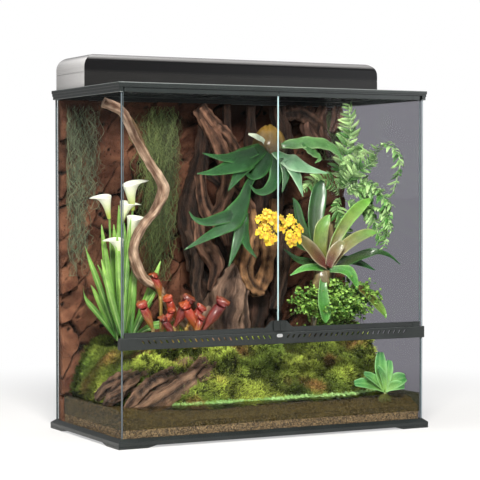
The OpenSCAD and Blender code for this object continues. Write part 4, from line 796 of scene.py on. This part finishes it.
stagLook = dict(lean=(0, -1, 0.4), cup=-0.14, rib=-0.05, ripple=0.05, ripples=3, thick=0.0013, across=9)
stagTones = dict(
    deep=dict(base=(0.008, 0.042, 0.012), tip=(0.02, 0.105, 0.024), margin=(0.06, 0.22, 0.05)),
    mint=dict(base=(0.025, 0.12, 0.04), tip=(0.24, 0.45, 0.27), margin=(0.5, 0.7, 0.5)),
    # lit is a lighter copy of the leaf green: painted light
    lit=dict(base=(0.04, 0.16, 0.035), tip=(0.16, 0.4, 0.11), margin=(0.36, 0.58, 0.25), ripple=0.18, ripples=6),
    silver=dict(base=(0.4, 0.5, 0.4), tip=(0.72, 0.78, 0.66), cup=0.4),
    shield=dict(base=(0.02, 0.012, 0.008), tip=(0.3, 0.17, 0.03), cup=-0.5, thick=0.004, rib=0.1))
stagLobes = [
    [[[115, 50, 777, 20], [66, 20, 759, 48], [-1, -20, 734, 65], [-53, -40, 714, 39], [-111, -58, 700, 19],
        [-161, -66, 695, 2]], "deep"],
    [[[61, 10, 763, 28], [-6, -14, 744, 35], [-72, -40, 739, 20], [-137, -50, 750, 2]], "deep"],
    [[[29, -6, 731, 41], [-11, -28, 703, 33], [-37, -40, 675, 18], [-59, -48, 650, 2]], "deep"],
    [[[116, 46, 773, 18], [91, 20, 735, 46], [64, 4, 704, 39], [34, -6, 689, 18], [3, -20, 706, 8],
        [-6, -26, 723, 1]], "deep"],
    [[[72, 14, 713, 18], [23, -12, 669, 21], [-2, -30, 625, 38], [-42, -48, 578, 62], [-80, -56, 550, 35],
        [-138, -66, 524, 19], [-203, -74, 493, 2]], "deep"],
    [[[-19, -40, 591, 45], [-78, -52, 577, 35], [-132, -62, 567, 23], [-168, -68, 575, 12], [-187, -70, 595, 2]],
        "deep"],
    [[[-16, -42, 584, 38], [-24, -50, 540, 34], [-41, -56, 497, 22], [-64, -60, 445, 2]], "deep"],
    [[[-10, -40, 591, 34], [-11, -50, 537, 31], [-2, -54, 500, 20], [22, -60, 467, 2]], "deep"],
    [[[128, 44, 770, 18], [123, 16, 721, 39], [106, -8, 680, 37], [72, -22, 651, 25], [38, -28, 648, 14],
        [13, -32, 668, 2]], "deep"],
    [[[118, 44, 769, 14], [139, 16, 746, 35], [163, -8, 730, 53], [210, -20, 710, 24], [265, -28, 699, 2]], "mint"],
    [[[150, 0, 735, 35], [169, -14, 697, 33], [178, -20, 666, 19], [185, -26, 633, 2]], "mint"],
    [[[138, 8, 741, 28], [143, -4, 700, 25], [132, -12, 664, 10], [124, -16, 645, 2]], "deep"],
    [[[127, 52, 776, 10], [169, 34, 780, 25], [224, 18, 786, 36], [277, 6, 781, 32], [311, 0, 759, 20],
        [325, -4, 732, 2]], "lit"],
    [[[209, 20, 785, 21], [235, 10, 760, 25], [256, 4, 742, 13], [238, 0, 727, 2]], "lit"],
    [[[108, 46, 772, 7], [92, 38, 788, 15], [67, 30, 798, 17], [41, 26, 806, 6]], "silver"],
    [[[100, 74, 716, 30], [92, 40, 765, 56], [104, 44, 810, 40], [118, 58, 832, 12]], "shield"],
    [[[150, 76, 720, 30], [156, 42, 765, 52], [148, 46, 808, 36], [136, 60, 830, 12]], "shield"],
    [[[124, 60, 722, 30], [124, 26, 765, 60], [127, 40, 812, 44], [128, 58, 836, 12]], "shield"]]
fern = [ribbon(row, stagLook | stagTones[tone], 30) for row, tone in stagLobes]
makePiece("staghorn_leaves", fern, glossLeaf, replaces=["staghorn_fern"])

bromLook = dict(lean=(0, -1, 0.5), cup=0.34, ripple=0.02, thick=0.0016, across=11, base=(0.3, 0.15, 0.05),
    tip=(0.2, 0.42, 0.1), margin=(0.3, 0.5, 0.16))
bromTones = dict(
    # the first tone below is a darker copy of the leaf green and lit a lighter one: painted shade and painted light
    dusk=dict(base=(0.05, 0.06, 0.02), tip=(0.02, 0.1, 0.025), margin=(0.06, 0.2, 0.05)),
    lit=dict(base=(0.2, 0.1, 0.03), tip=(0.17, 0.42, 0.06), margin=(0.3, 0.58, 0.14)),
    red=dict(base=(0.2, 0.2, 0.04), tip=(0.13, 0.36, 0.06), margin=(0.34, 0.36, 0.12)),
    pink=dict(base=(0.2, 0.05, 0.025), tip=(0.16, 0.38, 0.07), margin=(0.36, 0.38, 0.16)),
    gloss=dict(base=(0.06, 0.2, 0.04), tip=(0.11, 0.38, 0.06), margin=(0.34, 0.6, 0.22)),
    cup=dict(base=(0.13, 0.025, 0.018), tip=(0.2, 0.2, 0.06), margin=(0.5, 0.44, 0.3), cup=0.2))
bromLeaves = [
    [[[247, -20, 443, 24], [235, -10, 505, 49], [239, 4, 575, 62], [257, 14, 645, 58], [272, 18, 679, 14]], "dusk"],
    [[[246, -14, 442, 21], [212, -4, 506, 40], [193, 6, 561, 38], [184, 12, 607, 28], [176, 16, 630, 4]], "dusk"],
    [[[247, -40, 443, 28], [226, -46, 493, 54], [226, -52, 541, 53], [242, -56, 570, 30], [252, -58, 584, 3]],
        "red"],
    [[[262, -36, 443, 28], [285, -30, 505, 36], [326, -22, 561, 42], [376, -14, 604, 40], [423, -8, 629, 6]],
        "lit"],
    [[[259, -44, 440, 28], [292, -46, 483, 39], [338, -50, 515, 41], [381, -54, 531, 31], [407, -56, 531, 4]],
        "pink"],
    [[[255, -40, 429, 28], [315, -34, 449, 31], [404, -24, 474, 31], [430, -75, 468, 24], [430, -142, 445, 3]],
        "dusk"],
    [[[257, -50, 430, 21], [284, -60, 430, 31], [309, -66, 421, 46], [329, -68, 393, 25], [333, -68, 373, 3]],
        "gloss"],
    [[[249, -50, 430, 21], [205, -58, 438, 26], [163, -62, 435, 21], [123, -64, 418, 3]], "gloss"],
    [[[237, -52, 423, 21], [224, -66, 384, 32], [223, -70, 341, 48], [231, -68, 303, 40], [235, -66, 284, 6]],
        "gloss"],
    [[[330, -50, 393, 21], [371, -54, 363, 39], [409, -54, 328, 39], [430, -60, 302, 21], [430, -65, 291, 4]],
        "lit"],
    [[[248, -52, 440, 28], [213, -60, 466, 55], [180, -68, 495, 52], [148, -74, 518, 34], [130, -76, 526, 4]],
        "cup"],
    [[[251, -50, 437, 28], [258, -62, 472, 42], [279, -68, 499, 35], [294, -70, 506, 4]], "cup"],
    [[[247, -40, 429, 21], [197, -44, 451, 28], [156, -46, 459, 25], [113, -46, 490, 3]], "dusk"],
    [[[257, -30, 436, 21], [302, -16, 455, 31], [377, 0, 446, 28], [430, -8, 424, 4]], "dusk"],
    [[[255, -20, 449, 21], [230, 0, 484, 35], [198, 14, 498, 35], [161, 20, 520, 4]], "dusk"]]
brom = [ribbon(array(row) * [1, 1, 1, 0.8], bromLook | bromTones[tone]) for row, tone in bromLeaves]
stemLook = dict(barkLook, rings=30, sides=16, dark=(0.08, 0.06, 0.03), light=(0.28, 0.2, 0.1))
brom.append(woodLimb([[238, -40, 430, 20], [236, -38, 395, 24], [232, -20, 330, 12], [226, 0, 236, 9]], stemLook,
    101))
makePiece("bromeliad_leaves", brom, glossLeaf, replaces=["bromeliad"])

callaLook = dict(lean=(0, -1, 0.2), foot=0.06, end=0.985, full=0.9, cup=0.3, rib=0.08, ripple=0.05, thick=0.0012,
    base=(0.07, 0.22, 0.03), tip=(0.3, 0.55, 0.1), vein=(0.5, 0.7, 0.26))
callaLeaves = [
    [[-350, 30, 250], [-390, 10, 430], [-400, 20, 560], 38],
    [[-332, 34, 250], [-352, 40, 440], [-352, 50, 560], 42],
    [[-316, 24, 250], [-320, 10, 400], [-300, 14, 505], 38],
    [[-340, 14, 250], [-390, -14, 360], [-415, -14, 470], 34],
    [[-316, 24, 250], [-270, 4, 380], [-236, 4, 462], 34],
    [[-324, 48, 250], [-300, 60, 420], [-328, 74, 610], 32],
    [[-350, 30, 250], [-390, 40, 340], [-422, 40, 400], 34],
    [[-316, 24, 250], [-285, 10, 330], [-258, 10, 372], 30],
    [[-340, 14, 250], [-366, -10, 420], [-372, -18, 540], 34],
    [[-332, 34, 250], [-330, 20, 400], [-334, 4, 520], 34],
    [[-332, 30, 250], [-350, 0, 330], [-368, -20, 420], 28],
    [[-316, 24, 250], [-240, -20, 330], [-222, -40, 268], 26]]
rng = dice(112)
lilies = []
for foot, over, tip, width in callaLeaves:  # each row gives one leaf and one slimmer neighbour
    shift = rng.normal(0, 12, 3) * [1.4, 0.8, 1.6]
    lilies.append(leaf([foot, over, tip, width * 0.62], callaLook, 26))
    lilies.append(leaf([foot, over + shift, tip + shift * 2 - [0, 0, 34], width * 0.48],
        dict(callaLook, base=(0.05, 0.16, 0.025), tip=(0.2, 0.42, 0.07)), 26))
lilies += [woodLimb([[foot[0], foot[1], 250, 3.5], [(foot[0] + x) / 2, y, (z + 262) / 2, 3.2], [x, y, z, 3]],
    dict(stemLook, dark=(0.16, 0.32, 0.07), light=(0.3, 0.5, 0.14), flute=0.05, knot=0.05), 111)
    for foot, x, y, z in (((-324, 48), -299, 44, 612), ((-332, 34), -322, 24, 525), ((-350, 30), -366, 48, 590),
    ((-340, 14), -356, 0, 480), ((-332, 34), -336, 46, 566))]
makePiece("calla_leaves", lilies, glossLeaf, replaces=["calla_lilies"])


def vase(place, turn, size, look):
    # a funnel with a wall: the mouth flares, and one side of the rim rises to a curled tip
    a = linspace(0, 2 * pi, 28, endpoint=False)[None, :]
    t = join([linspace(0, 1, 22), linspace(1, 0.12, 16)])[:, None]
    wall = join([np.zeros(22), full(16, look["wall"])])[:, None]
    toTip = 0.5 + 0.5 * cos(a)
    r = look["foot"] + (look["belly"] - look["foot"]) * sin(pi / 2 * clip(t * look["swell"], 0, 1)) ** 1.5
    r = r + look["flare"] * t ** 5 * (0.35 + 0.65 * toTip) - wall
    h = t + look["rise"] * t ** 3 * toTip ** 2 - look["curl"] * t ** 9 * toTip ** 3
    out = look["reach"] * t ** 6 * toTip ** 5
    rings = stacked(r * cos(a) + out, r * sin(a) * (1 - 0.25 * toTip * t), h) * size
    tint = mixed(look["low"], look["high"], clip(t * 1.2 - 0.2, 0, 1) + 0 * a)
    return loft(rings @ turn.T + place, stacked(a + 0 * t, t + 0 * a), tint)


def tipped(lean, spin):  # a turn whose Z leans by a vector, spun about it
    return turnsTo(array([lean], float), array([spin], float))[0]


petalFinish = surface("petalFinish", dict(dark=(0.93, 0.93, 0.9), light=(1.04, 1.04, 1.02), broad=60.0, fine=600.0,
    rough=(0.4, 0.55), lift=0.0002, bump=0.3, tinted=True, sheen=0.2))
spathe = dict(foot=0.08, belly=0.2, swell=1.0, flare=0.2, rise=0.3, curl=0.26, reach=0.32, wall=0.02,
    low=(0.5, 0.6, 0.1), high=(0.95, 0.94, 0.86))
flowers = [vase(mm(x, y, z - 6), tipped((lean, -0.25, 1), spin), size / 850, spathe)
    for x, y, z, size, lean, spin in ((-299, 44, 604, 62, -0.25, -0.4), (-322, 24, 517, 58, 0.15, 0.5),
    (-366, 48, 582, 52, -0.3, 2.6), (-356, 0, 470, 50, -0.2, 2.8), (-336, 46, 560, 56, 0.2, 0.2))]
makePiece("calla_spathes", flowers, petalFinish)

pitchers = [
    (-286, -54, 284, 66, -0.5, 2.6), (-262, -62, 280, 52, 0.2, 0.4), (-232, -70, 288, 76, 0.5, 0.3),
    (-198, -74, 284, 62, 0.7, 0.0), (-172, -84, 278, 70, -0.45, 2.9), (-152, -80, 276, 84, 0.55, -0.3),
    (-250, -24, 366, 56, -0.2, 2.4), (-214, -50, 306, 58, -0.6, 2.2), (-240, -84, 264, 54, -0.5, 3.2),
    (-186, -96, 262, 50, 0.4, 0.6)]
pitcherTones = [
    ((0.4, 0.22, 0.04), (0.28, 0.016, 0.012)), ((0.45, 0.13, 0.03), (0.38, 0.03, 0.012)),
    ((0.24, 0.03, 0.015), (0.14, 0.006, 0.008))]


def pitcher(place, turn, tall, low, high, seed):
    # a fat leaning tube, r = 0.055 + 0.15 sin(0.72 pi t)^1.4, with a wall, a rolled lip and wrinkles
    a = linspace(0, 2 * pi, 24, endpoint=False)[None, :]
    t = join([linspace(0, 1, 22), linspace(1, 0.25, 12)])[:, None]
    wall = join([np.zeros(22), full(12, 0.022)])[:, None]
    r = 0.055 + 0.15 * sin(0.72 * pi * t) ** 1.4 + 0.03 * t ** 12 - wall + 0.01 * sin(5 * a + 5 * t + seed)
    rings = stacked(r * cos(a) + 0.22 * t ** 2, r * sin(a) * 0.9, t + 0.06 * t ** 8 * cos(a)) * tall
    tone = clip(t * 1.5 - 0.25 + 0.25 * sin(7 * a + 9 * t + seed), 0, 1)
    return loft(rings @ turn.T + place, stacked(a * 0.02 + 0 * t, t * tall + 0 * a), mixed(low, high, tone))


cups = []
for number, (x, y, z, tall, lean, spin) in enumerate(pitchers):
    turn = tipped((lean, -0.3, 1), spin)
    low, high = pitcherTones[number % 3]
    size = tall / 1000
    cups.append(pitcher(mm(x, y, z), turn, size, low, high, number))
    hood = bend((0.06, 0, 0.98), (0.0, 0, 1.36), (0.5, 0.04, 1.2), 14) * size
    hoodWidth = 0.5 * size * sin(pi * linspace(0.14, 0.97, 14)) ** 0.7
    cups.append(strap(hood @ turn.T + mm(x, y, z), hoodWidth,
        dict(lean=turn @ array([-0.3, 0, 1.0]), cup=-0.35, ripple=0.3, ripples=3, thick=0.0014, across=9, base=high,
        tip=mixed(high, (0.7, 0.22, 0.05), 0.35))))
    cups.append(woodLimb([[x, y, 232, 4], [x + 2, y, (z + 236) / 2, 4.5], [x, y, z + 4, 4.5]],
        dict(stemLook, dark=(0.2, 0.14, 0.04), light=(0.4, 0.24, 0.06), rings=12), 122))
makePiece("pitcher_cups", cups, glossLeaf, replaces=["pitcher_plants"])

blossomLook = dict(lean=(0, 0, 1), foot=0.12, end=0.93, full=0.9, cup=0.25, ripple=0.12, ripples=2, thick=0.0007,
    across=4, base=(0.75, 0.3, 0.02), tip=(0.95, 0.72, 0.03))


def blossom():  # five petals and a broad frilled lip, facing Z
    petals = [strap(bend((0, 0, 0), (0.004 * math.cos(a), 0.004 * math.sin(a), 0.002),
        (0.0115 * math.cos(a), 0.0115 * math.sin(a), 0.001), 5), 0.0062, blossomLook)
        for a in radians([35, 90, 145, 200, 340])]
    petals.append(strap(bend((0, 0, 0), (0, -0.006, 0.004), (0, -0.017, 0.002), 6), 0.017,
        dict(blossomLook, ripple=0.22, full=0.7)))
    return merged(petals)


rng = dice(131)
count = 64
group = rng.uniform(0, 1, count)
centre = np.where(group[:, None] < 0.62, [[36, -104, 560]], [[112, -100, 544]]) / 1000
spread = np.where(group[:, None] < 0.62, [[42, 14, 48]], [[26, 12, 36]]) / 1000
ball = rng.normal(size=(count, 3))
ball = ball / np.linalg.norm(ball, axis=1, keepdims=True) * rng.uniform(0.05, 1, (count, 1)) ** 0.5
spots = centre + ball * spread * 1.15
heads = scattered(blossom(), spots, turnsTo(ball * [0.6, 0.3, 0.5] + [-0.25, -0.9, 0.2], rng.normal(0, 0.5, count)),
    rng.uniform(0.6, 1.0, count), rng.uniform(0.75, 1.1, (count, 1)) * np.ones((1, 3)))
makePiece("orchid_blossoms", heads, petalFinish, replaces=["orchid"])


def strands(paths, radius):  # three-sided tubes along many paths at once: paths is tubes by points by 3
    k, m = paths.shape[:2]
    way = unit(np.gradient(paths, axis=1))
    side = unit(cross(way, [0.3, 0.9, 0.2]))
    up = cross(side, way)
    a = radians([90, 210, 330])
    r = np.broadcast_to(radius, (k, m))[:, :, None, None]
    rings = paths[:, :, None] + r * (side[:, :, None] * cos(a)[None, None, :, None] + up[:, :, None]
        * sin(a)[None, None, :, None])
    one = gridTris(m, 3, True)
    ends = array([[2, 1, 0], [3 * m - 3, 3 * m - 2, 3 * m - 1]])
    one = join([one, ends])
    first = rings[0].reshape(-1, 3)
    one = facingOut(first - first.mean(0), one)
    return rings.reshape(k, -1, 3), one


def strandPart(paths, radius, tints):
    rings, one = strands(paths, radius)
    k, n = rings.shape[:2]
    f = one[None] + (arange(k) * n)[:, None, None]
    tint = np.repeat(tints[:, None, :], n, 1)
    return dict(v=rings.reshape(-1, 3), f=f.reshape(-1, 3), uv=np.zeros((k * n, 2)), tint=tint.reshape(-1, 3))


# a curtain is its place across, the height of its foot, its width in mm, its strands and its colour
beard = dict(points=22, radius=0.0005, top=0.885, back=0.166,
    curtains=[[-412, 420, 44, 260, (0.085, 0.1, 0.06)], [-366, 600, 30, 80, (0.08, 0.09, 0.055)],
    [-175, 400, 60, 620, (0.085, 0.11, 0.034)], [-134, 520, 34, 220, (0.075, 0.095, 0.034)],
    [392, 740, 44, 170, (0.16, 0.2, 0.08)]])
beardFinish = surface("beardFinish", dict(dark=(0.7, 0.7, 0.66), light=(1.25, 1.25, 1.2), broad=120.0, fine=700.0,
    rough=(0.75, 0.9), lift=0.0004, tinted=True, sheen=0.2))
hangs = []
for number, (x, foot, width, count, tone) in enumerate(beard["curtains"]):
    rng = dice(140 + number)
    t = linspace(0, 1, beard["points"])[None, :]
    start = beard["top"] - rng.uniform(0, 1, (count, 1)) ** 1.3 * (beard["top"] - foot / 1000) * 0.8
    drop = rng.uniform(0.04, 0.15, (count, 1))
    cx = x / 1000 + rng.normal(0, 0.42, (count, 1)) * width / 1000
    z = maximum(start - drop * t, foot / 1000)
    sway = rng.uniform(0.004, 0.014, (count, 1))
    curl = rng.uniform(0.001, 0.0045, (count, 1)) * sin(t * rng.uniform(14, 34, (count, 1))
        + rng.uniform(0, 6.3, (count, 1)))
    px = cx + sway * sin(t * rng.uniform(4, 11, (count, 1)) + rng.uniform(0, 6.3, (count, 1))) + curl
    py = beard["back"] + rng.normal(0, 0.005, (count, 1)) + 0.004 * sin(t * rng.uniform(4, 10, (count, 1))
        + rng.uniform(0, 6.3, (count, 1)))
    px = clip(px, innerLeft + 0.002, innerRight - 0.002)
    hangs.append(strandPart(stacked(px, minimum(py, rockFace - 0.001), z),
        beard["radius"] * rng.uniform(0.7, 1.3, (count, 1)), array([tone])
        * rng.uniform(0.25, 2.4, (count, 1)) ** 1.3))
makePiece("beard_moss", hangs, beardFinish, replaces=["hanging_moss"])

frondLook = dict(lean=(0, -1, 0.3), foot=0.05, end=0.97, full=1.0, cup=0.15, rib=0.1, thick=0.0008, across=5,
    base=(0.06, 0.22, 0.03), tip=(0.55, 0.8, 0.36), vein=(0.5, 0.72, 0.3))
fronds = [
    [[375, 88, 659, 14], [366, 80, 724, 43], [393, 70, 810, 47], [384, 60, 895, 29]],
    [[383, 80, 659, 14], [426, 40, 731, 40], [430, -60, 779, 42], [430, -138, 735, 39], [430, -103, 645, 28]],
    [[391, 80, 652, 14], [428, 30, 674, 43], [430, -61, 624, 49], [430, -77, 554, 42], [423, -66, 494, 21]],
    [[366, 80, 638, 14], [315, 50, 677, 36], [255, 30, 680, 32], [212, 20, 653, 14]],
    [[400, 80, 652, 14], [417, 40, 638, 43], [430, 6, 581, 47], [430, -35, 511, 28]],
    [[377, 84, 652, 14], [390, 50, 695, 36], [430, 6, 730, 28], [430, -7, 752, 14]],
    [[370, 86, 631, 14], [346, 60, 595, 36], [365, 50, 538, 36], [376, 40, 495, 14]],
    [[394, 84, 638, 14], [413, 60, 659, 43], [430, -7, 652, 43], [430, -90, 610, 28]],
    [[363, 88, 652, 14], [389, 76, 695, 43], [419, 70, 753, 36], [425, 66, 782, 14]],
    [[383, 80, 623, 14], [430, 47, 595, 43], [430, -48, 596, 42], [430, -95, 540, 21]]]


def leafTurn(way, up):  # matrices whose Z runs along way and whose Y is up
    x = unit(cross(up, way))
    return stacked(x, cross(way, x), way)


def pinna():
    # a leaflet along Z whose edges are notched and whose end curls down; half width = sin curve times a saw
    t = linspace(0, 1, 15)
    saw = 1 - 0.42 * ((t * 5) % 1)
    look = dict(lean=(0, 1, 0), cup=0.3, thick=0.03, across=3, base=(0.8, 0.85, 0.8), tip=(1.25, 1.2, 1.2))
    return strap(bend((0, 0, 0), (0.05, 0.22, 0.55), (0.2, -0.12, 1), 15),
        0.36 * sin(pi * (0.08 + 0.9 * t)) ** 0.7 * saw, look)


def frond(row, seed, leaflets=24):
    rng = dice(seed)
    p = through(row, 60)
    spine, width = p[:, :3] / 1000, p[:, 3:] / 1000
    way, side, up = along(spine, frondLook["lean"])
    blades = [strap(spine, width[:, 0] * 0.12, frondLook)]
    for sign in (-1, 1):
        k = linspace(3, 59, leaflets).astype(int)
        reach = width[k, 0] * 0.78 * rng.uniform(0.75, 1.25, leaflets)
        d = unit(sign * side[k] + way[k] * rng.uniform(0.4, 0.9, (leaflets, 1)) + up[k]
            * rng.uniform(-0.5, 0.35, (leaflets, 1)))
        # leaflet tones run from base to the pale tip colour; the few near the tip are painted highlights
        tone = mixed(frondLook["base"], frondLook["tip"], rng.uniform(0, 1.15, leaflets) ** 1.5)
        blades.append(scattered(pinna(), spine[k], leafTurn(d, up[k]), reach,
            tone * rng.uniform(0.7, 1.25, (leaflets, 1))))
    return blades


leaves = sum([frond(row, 150 + k) for k, row in enumerate(fronds)], [])
leaves.append(woodLimb([[338, 84, 236, 9], [345, 94, 400, 10], [338, 84, 560, 12]], stemLook, 160))
makePiece("lace_fronds", leaves, softLeaf, replaces=["lace_ferns"])

vineLook = dict(stems=150, leaflets=4200, foot=(290, 10, 262), centre=(280, -40, 348), reach=(146, 50, 72),
    radius=0.0006)
rng = dice(171)
count, m = vineLook["stems"], 12
t = linspace(0, 1, m)[None, :, None]
ball = unit(rng.normal(size=(count, 3)) * [1.3, 1, 1] + [0, -0.7, 0.1])
ends = mm(*vineLook["centre"]) + ball * mm(*vineLook["reach"]) * rng.uniform(0.55, 1.08, (count, 1))
foot = mm(*vineLook["foot"]) + rng.normal(0, 1, (count, 3)) * [0.05, 0.014, 0.004]
paths = foot[:, None] * (1 - t) + ends[:, None] * t + array([0, 0, 0.03]) * 4 * t * (1 - t) * rng.uniform(0.2, 1,
    (count, 1, 1))
paths[..., 0] = minimum(paths[..., 0], innerRight - 0.012)
stems = strandPart(paths, vineLook["radius"], np.tile([[0.05, 0.03, 0.02]], (count, 1)))
a = linspace(0, 2 * pi, 7, endpoint=False)[None, :]
lobe = 1 + 0.18 * cos(3 * a)
disc = loft(stacked(lobe * cos(a) * [[1.0], [0.92]], lobe * sin(a) * [[1.0], [0.92]] + 0.9,
    0.14 * cos(2 * a) + array([[0.0], [0.09]])))
pick = rng.integers(0, count, vineLook["leaflets"])
step = rng.uniform(0, 1, vineLook["leaflets"]) ** 0.6 * (m - 1.01)
low = step.astype(int)
spots = paths[pick, low] + (paths[pick, low + 1] - paths[pick, low]) * (step - low)[:, None] + rng.normal(0, 0.004,
    (len(low), 3))
spots[:, 0] = minimum(spots[:, 0], innerRight - 0.01)
facing = rng.normal(0, 0.5, (len(spots), 3)) + [0, -0.6, 0.8]
discs = scattered(disc, spots, turnsTo(facing, rng.uniform(0, 6.3, len(spots))),
    rng.uniform(0.003, 0.0054, len(spots)), mixed((0.05, 0.18, 0.02), (0.45, 0.72, 0.14),
    rng.uniform(0, 1, len(spots))))
makePiece("maidenhair", [stems, discs], softLeaf, replaces=["creeper"])

lettuceLook = dict(lean=(0, -1, 0.5), foot=0.1, end=0.86, full=1.2, cup=0.25, rib=0.06, thick=0.0016, across=9,
    round=0.9, base=(0.22, 0.42, 0.09), tip=(0.05, 0.24, 0.06), vein=(0.2, 0.42, 0.14), margin=(0.34, 0.66, 0.28))
lettuceHeart = array([352, -186, 100])
lettuce = [leaf([lettuceHeart, lettuceHeart + over, lettuceHeart + tip, width], lettuceLook)
    for over, tip, width in (([-20, 0, 50], [-12, 5, 108], 40), ([10, 4, 50], [20, 8, 84], 30),
    ([-40, 0, 30], [-95, 4, 26], 32), ([-30, -4, 40], [-70, -6, 52], 26), ([30, 0, 34], [72, 6, 34], 40),
    ([26, -4, 24], [60, -6, 10], 28), ([0, -6, 40], [-30, -10, 70], 24))]
rng = dice(181)
count = 110
t = linspace(0, 1, 8)[None, :, None]
angle = rng.uniform(0, 6.3, count)
drop = stacked(cos(angle) * 0.02, sin(angle) * 0.014, -rng.uniform(0.012, 0.03, count))
paths = mm(*lettuceHeart)[None, None] + [0, 0, -0.004] + drop[:,
    None] * t + 0.002 * sin(t * 9 + angle[:, None, None])
paths[..., 1] = maximum(paths[..., 1], innerFront + 0.002)
lettuce.append(strandPart(paths, 0.0004, np.tile([[0.5, 0.52, 0.25]], (count, 1))))
makePiece("water_lettuce", lettuce, softLeaf, replaces=["water_plant"])

duckweed = dict(count=2600, size=(0.0022, 0.0046))
rng = dice(191)
x = rng.uniform(innerLeft + 0.06, innerRight - 0.03, duckweed["count"])
band = (abs(rng.normal(0, 0.016, duckweed["count"])) - 0.006) * (0.6 + 0.6
    * clip(waves(x[:, None], 0.12, 192), -0.8, 1))
y = maximum(shoreLine(x) - band, innerFront + 0.004)
z = waterTop + 0.0006 + clip(y - shoreLine(x), 0, 1) * 1.2 + rng.uniform(0, 0.003, len(x))
pads = scattered(disc, stacked(x, y, z), turnsTo(np.tile([[0, -0.35, 1.0]], (len(x), 1))
    + rng.normal(0, 0.3, (len(x), 3)), rng.uniform(0, 6.3, len(x))), rng.uniform(*duckweed["size"], len(x)),
    mixed((0.25, 0.5, 0.12), (0.6, 0.85, 0.38), rng.uniform(0, 1, len(x))))
makePiece("duckweed", pads, softLeaf)

viewpoint = dict(place=(-2.1904, -4.2361, 0.6463), dip=0.0275, turn=0.4775, lens=130.74, sensor=36.0)
lamps = [
    dict(place=(-1.3, -2.7, 2.6), aim=(0, 0, 0.4), size=0.9, power=205, colour=(1.0, 0.96, 0.9)),
    dict(place=(2.2, -2.6, 1.2), aim=(0, 0, 0.4), size=1.2, power=14, colour=(0.96, 0.98, 1.0)),
    dict(place=(-0.2, 0.3, 3.0), aim=(0, 0, 0.5), size=1.4, power=36, colour=(1, 1, 1))]


def aimed(thing, place, target):
    direction = np.asarray(target, float) - np.asarray(place, float)
    thing.location = place
    thing.rotation_euler = (math.atan2(math.hypot(direction[0], direction[1]), -direction[2]), 0,
        math.atan2(direction[0], -direction[1]) + math.pi)


camera = bpy.data.objects.new("camera", bpy.data.cameras.new("camera"))
camera.data.lens, camera.data.sensor_width = viewpoint["lens"], viewpoint["sensor"]
camera.location = viewpoint["place"]
camera.rotation_euler = (math.pi / 2 - viewpoint["dip"], 0, -viewpoint["turn"])
bpy.context.scene.collection.objects.link(camera)
bpy.context.scene.camera = camera
for number, lamp in enumerate(lamps):
    data = bpy.data.lights.new("softbox%d" % number, "AREA")
    data.energy, data.size, data.color = lamp["power"], lamp["size"], lamp["colour"]
    light = bpy.data.objects.new("softbox%d" % number, data)
    aimed(light, lamp["place"], lamp["aim"])
    bpy.context.scene.collection.objects.link(light)

world = bpy.data.worlds.new("studio")
world.use_nodes = True
bpy.context.scene.world = world
tree = world.node_tree
tree.nodes.clear()
rays = put(tree, "LightPath").outputs
seen = maths(tree, "MAXIMUM", rays["Is Camera Ray"], rays["Is Transmission Ray"])
seen = maths(tree, "MAXIMUM", seen, maths(tree, "MULTIPLY", rays["Is Glossy Ray"], 0.3))
sky = put(tree, "Background", {"Color": (1, 1, 1, 1), "Strength": ramp(tree, seen, 0.0, 1.0, 0.11, 1.0)})
put(tree, "OutputWorld", {"Surface": sky})

# the floor is matte paper that takes shadows, and turns into a plain glow for the camera further out
floorLook = dict(reach=12.0, dark=(0.86, 0.86, 0.86), light=(0.9, 0.9, 0.9), near=0.75, far=1.9, shadowShare=0.5)
material, tree, coord = newMaterial("paperFloor")
away = put(tree, "VectorMath", {0: coord["Object"]}, operation="LENGTH").outputs["Value"]
rays = put(tree, "LightPath").outputs
looks = maths(tree, "MAXIMUM", rays["Is Camera Ray"], maths(tree, "MULTIPLY", rays["Is Glossy Ray"], 0.15))
looks = maths(tree, "MAXIMUM", looks, rays["Is Transmission Ray"])
grain = put(tree, "TexNoise", {"Vector": coord["Object"], "Scale": 60.0})
matte = put(tree, "BsdfPrincipled", {"Base Color": blendColours(tree, grain, floorLook["dark"], floorLook["light"]),
    "Roughness": 0.9, "Specular IOR Level": 0.1})
white = put(tree, "Emission", {"Color": (1, 1, 1, 1), "Strength": 1.0})
fade = ramp(tree, away, floorLook["near"], floorLook["far"], 1 - floorLook["shadowShare"], 1.0)
fade.interpolation_type = "SMOOTHSTEP"
shown(tree, put(tree, "MixShader", {0: maths(tree, "MULTIPLY", fade, looks), 1: matte, 2: white}))
reach = floorLook["reach"]
floorMesh = bpy.data.meshes.new("studio_floor")
floorMesh.from_pydata([(-reach, -reach, 0), (reach, -reach, 0), (reach, reach, 0), (-reach, reach, 0)], [],
    [(0, 1, 2, 3)])
floorMesh.materials.append(material)
studioFloor = bpy.data.objects.new("studio_floor", floorMesh)
bpy.context.scene.collection.objects.link(studioFloor)

bpy.context.scene.view_settings.view_transform = "Standard"
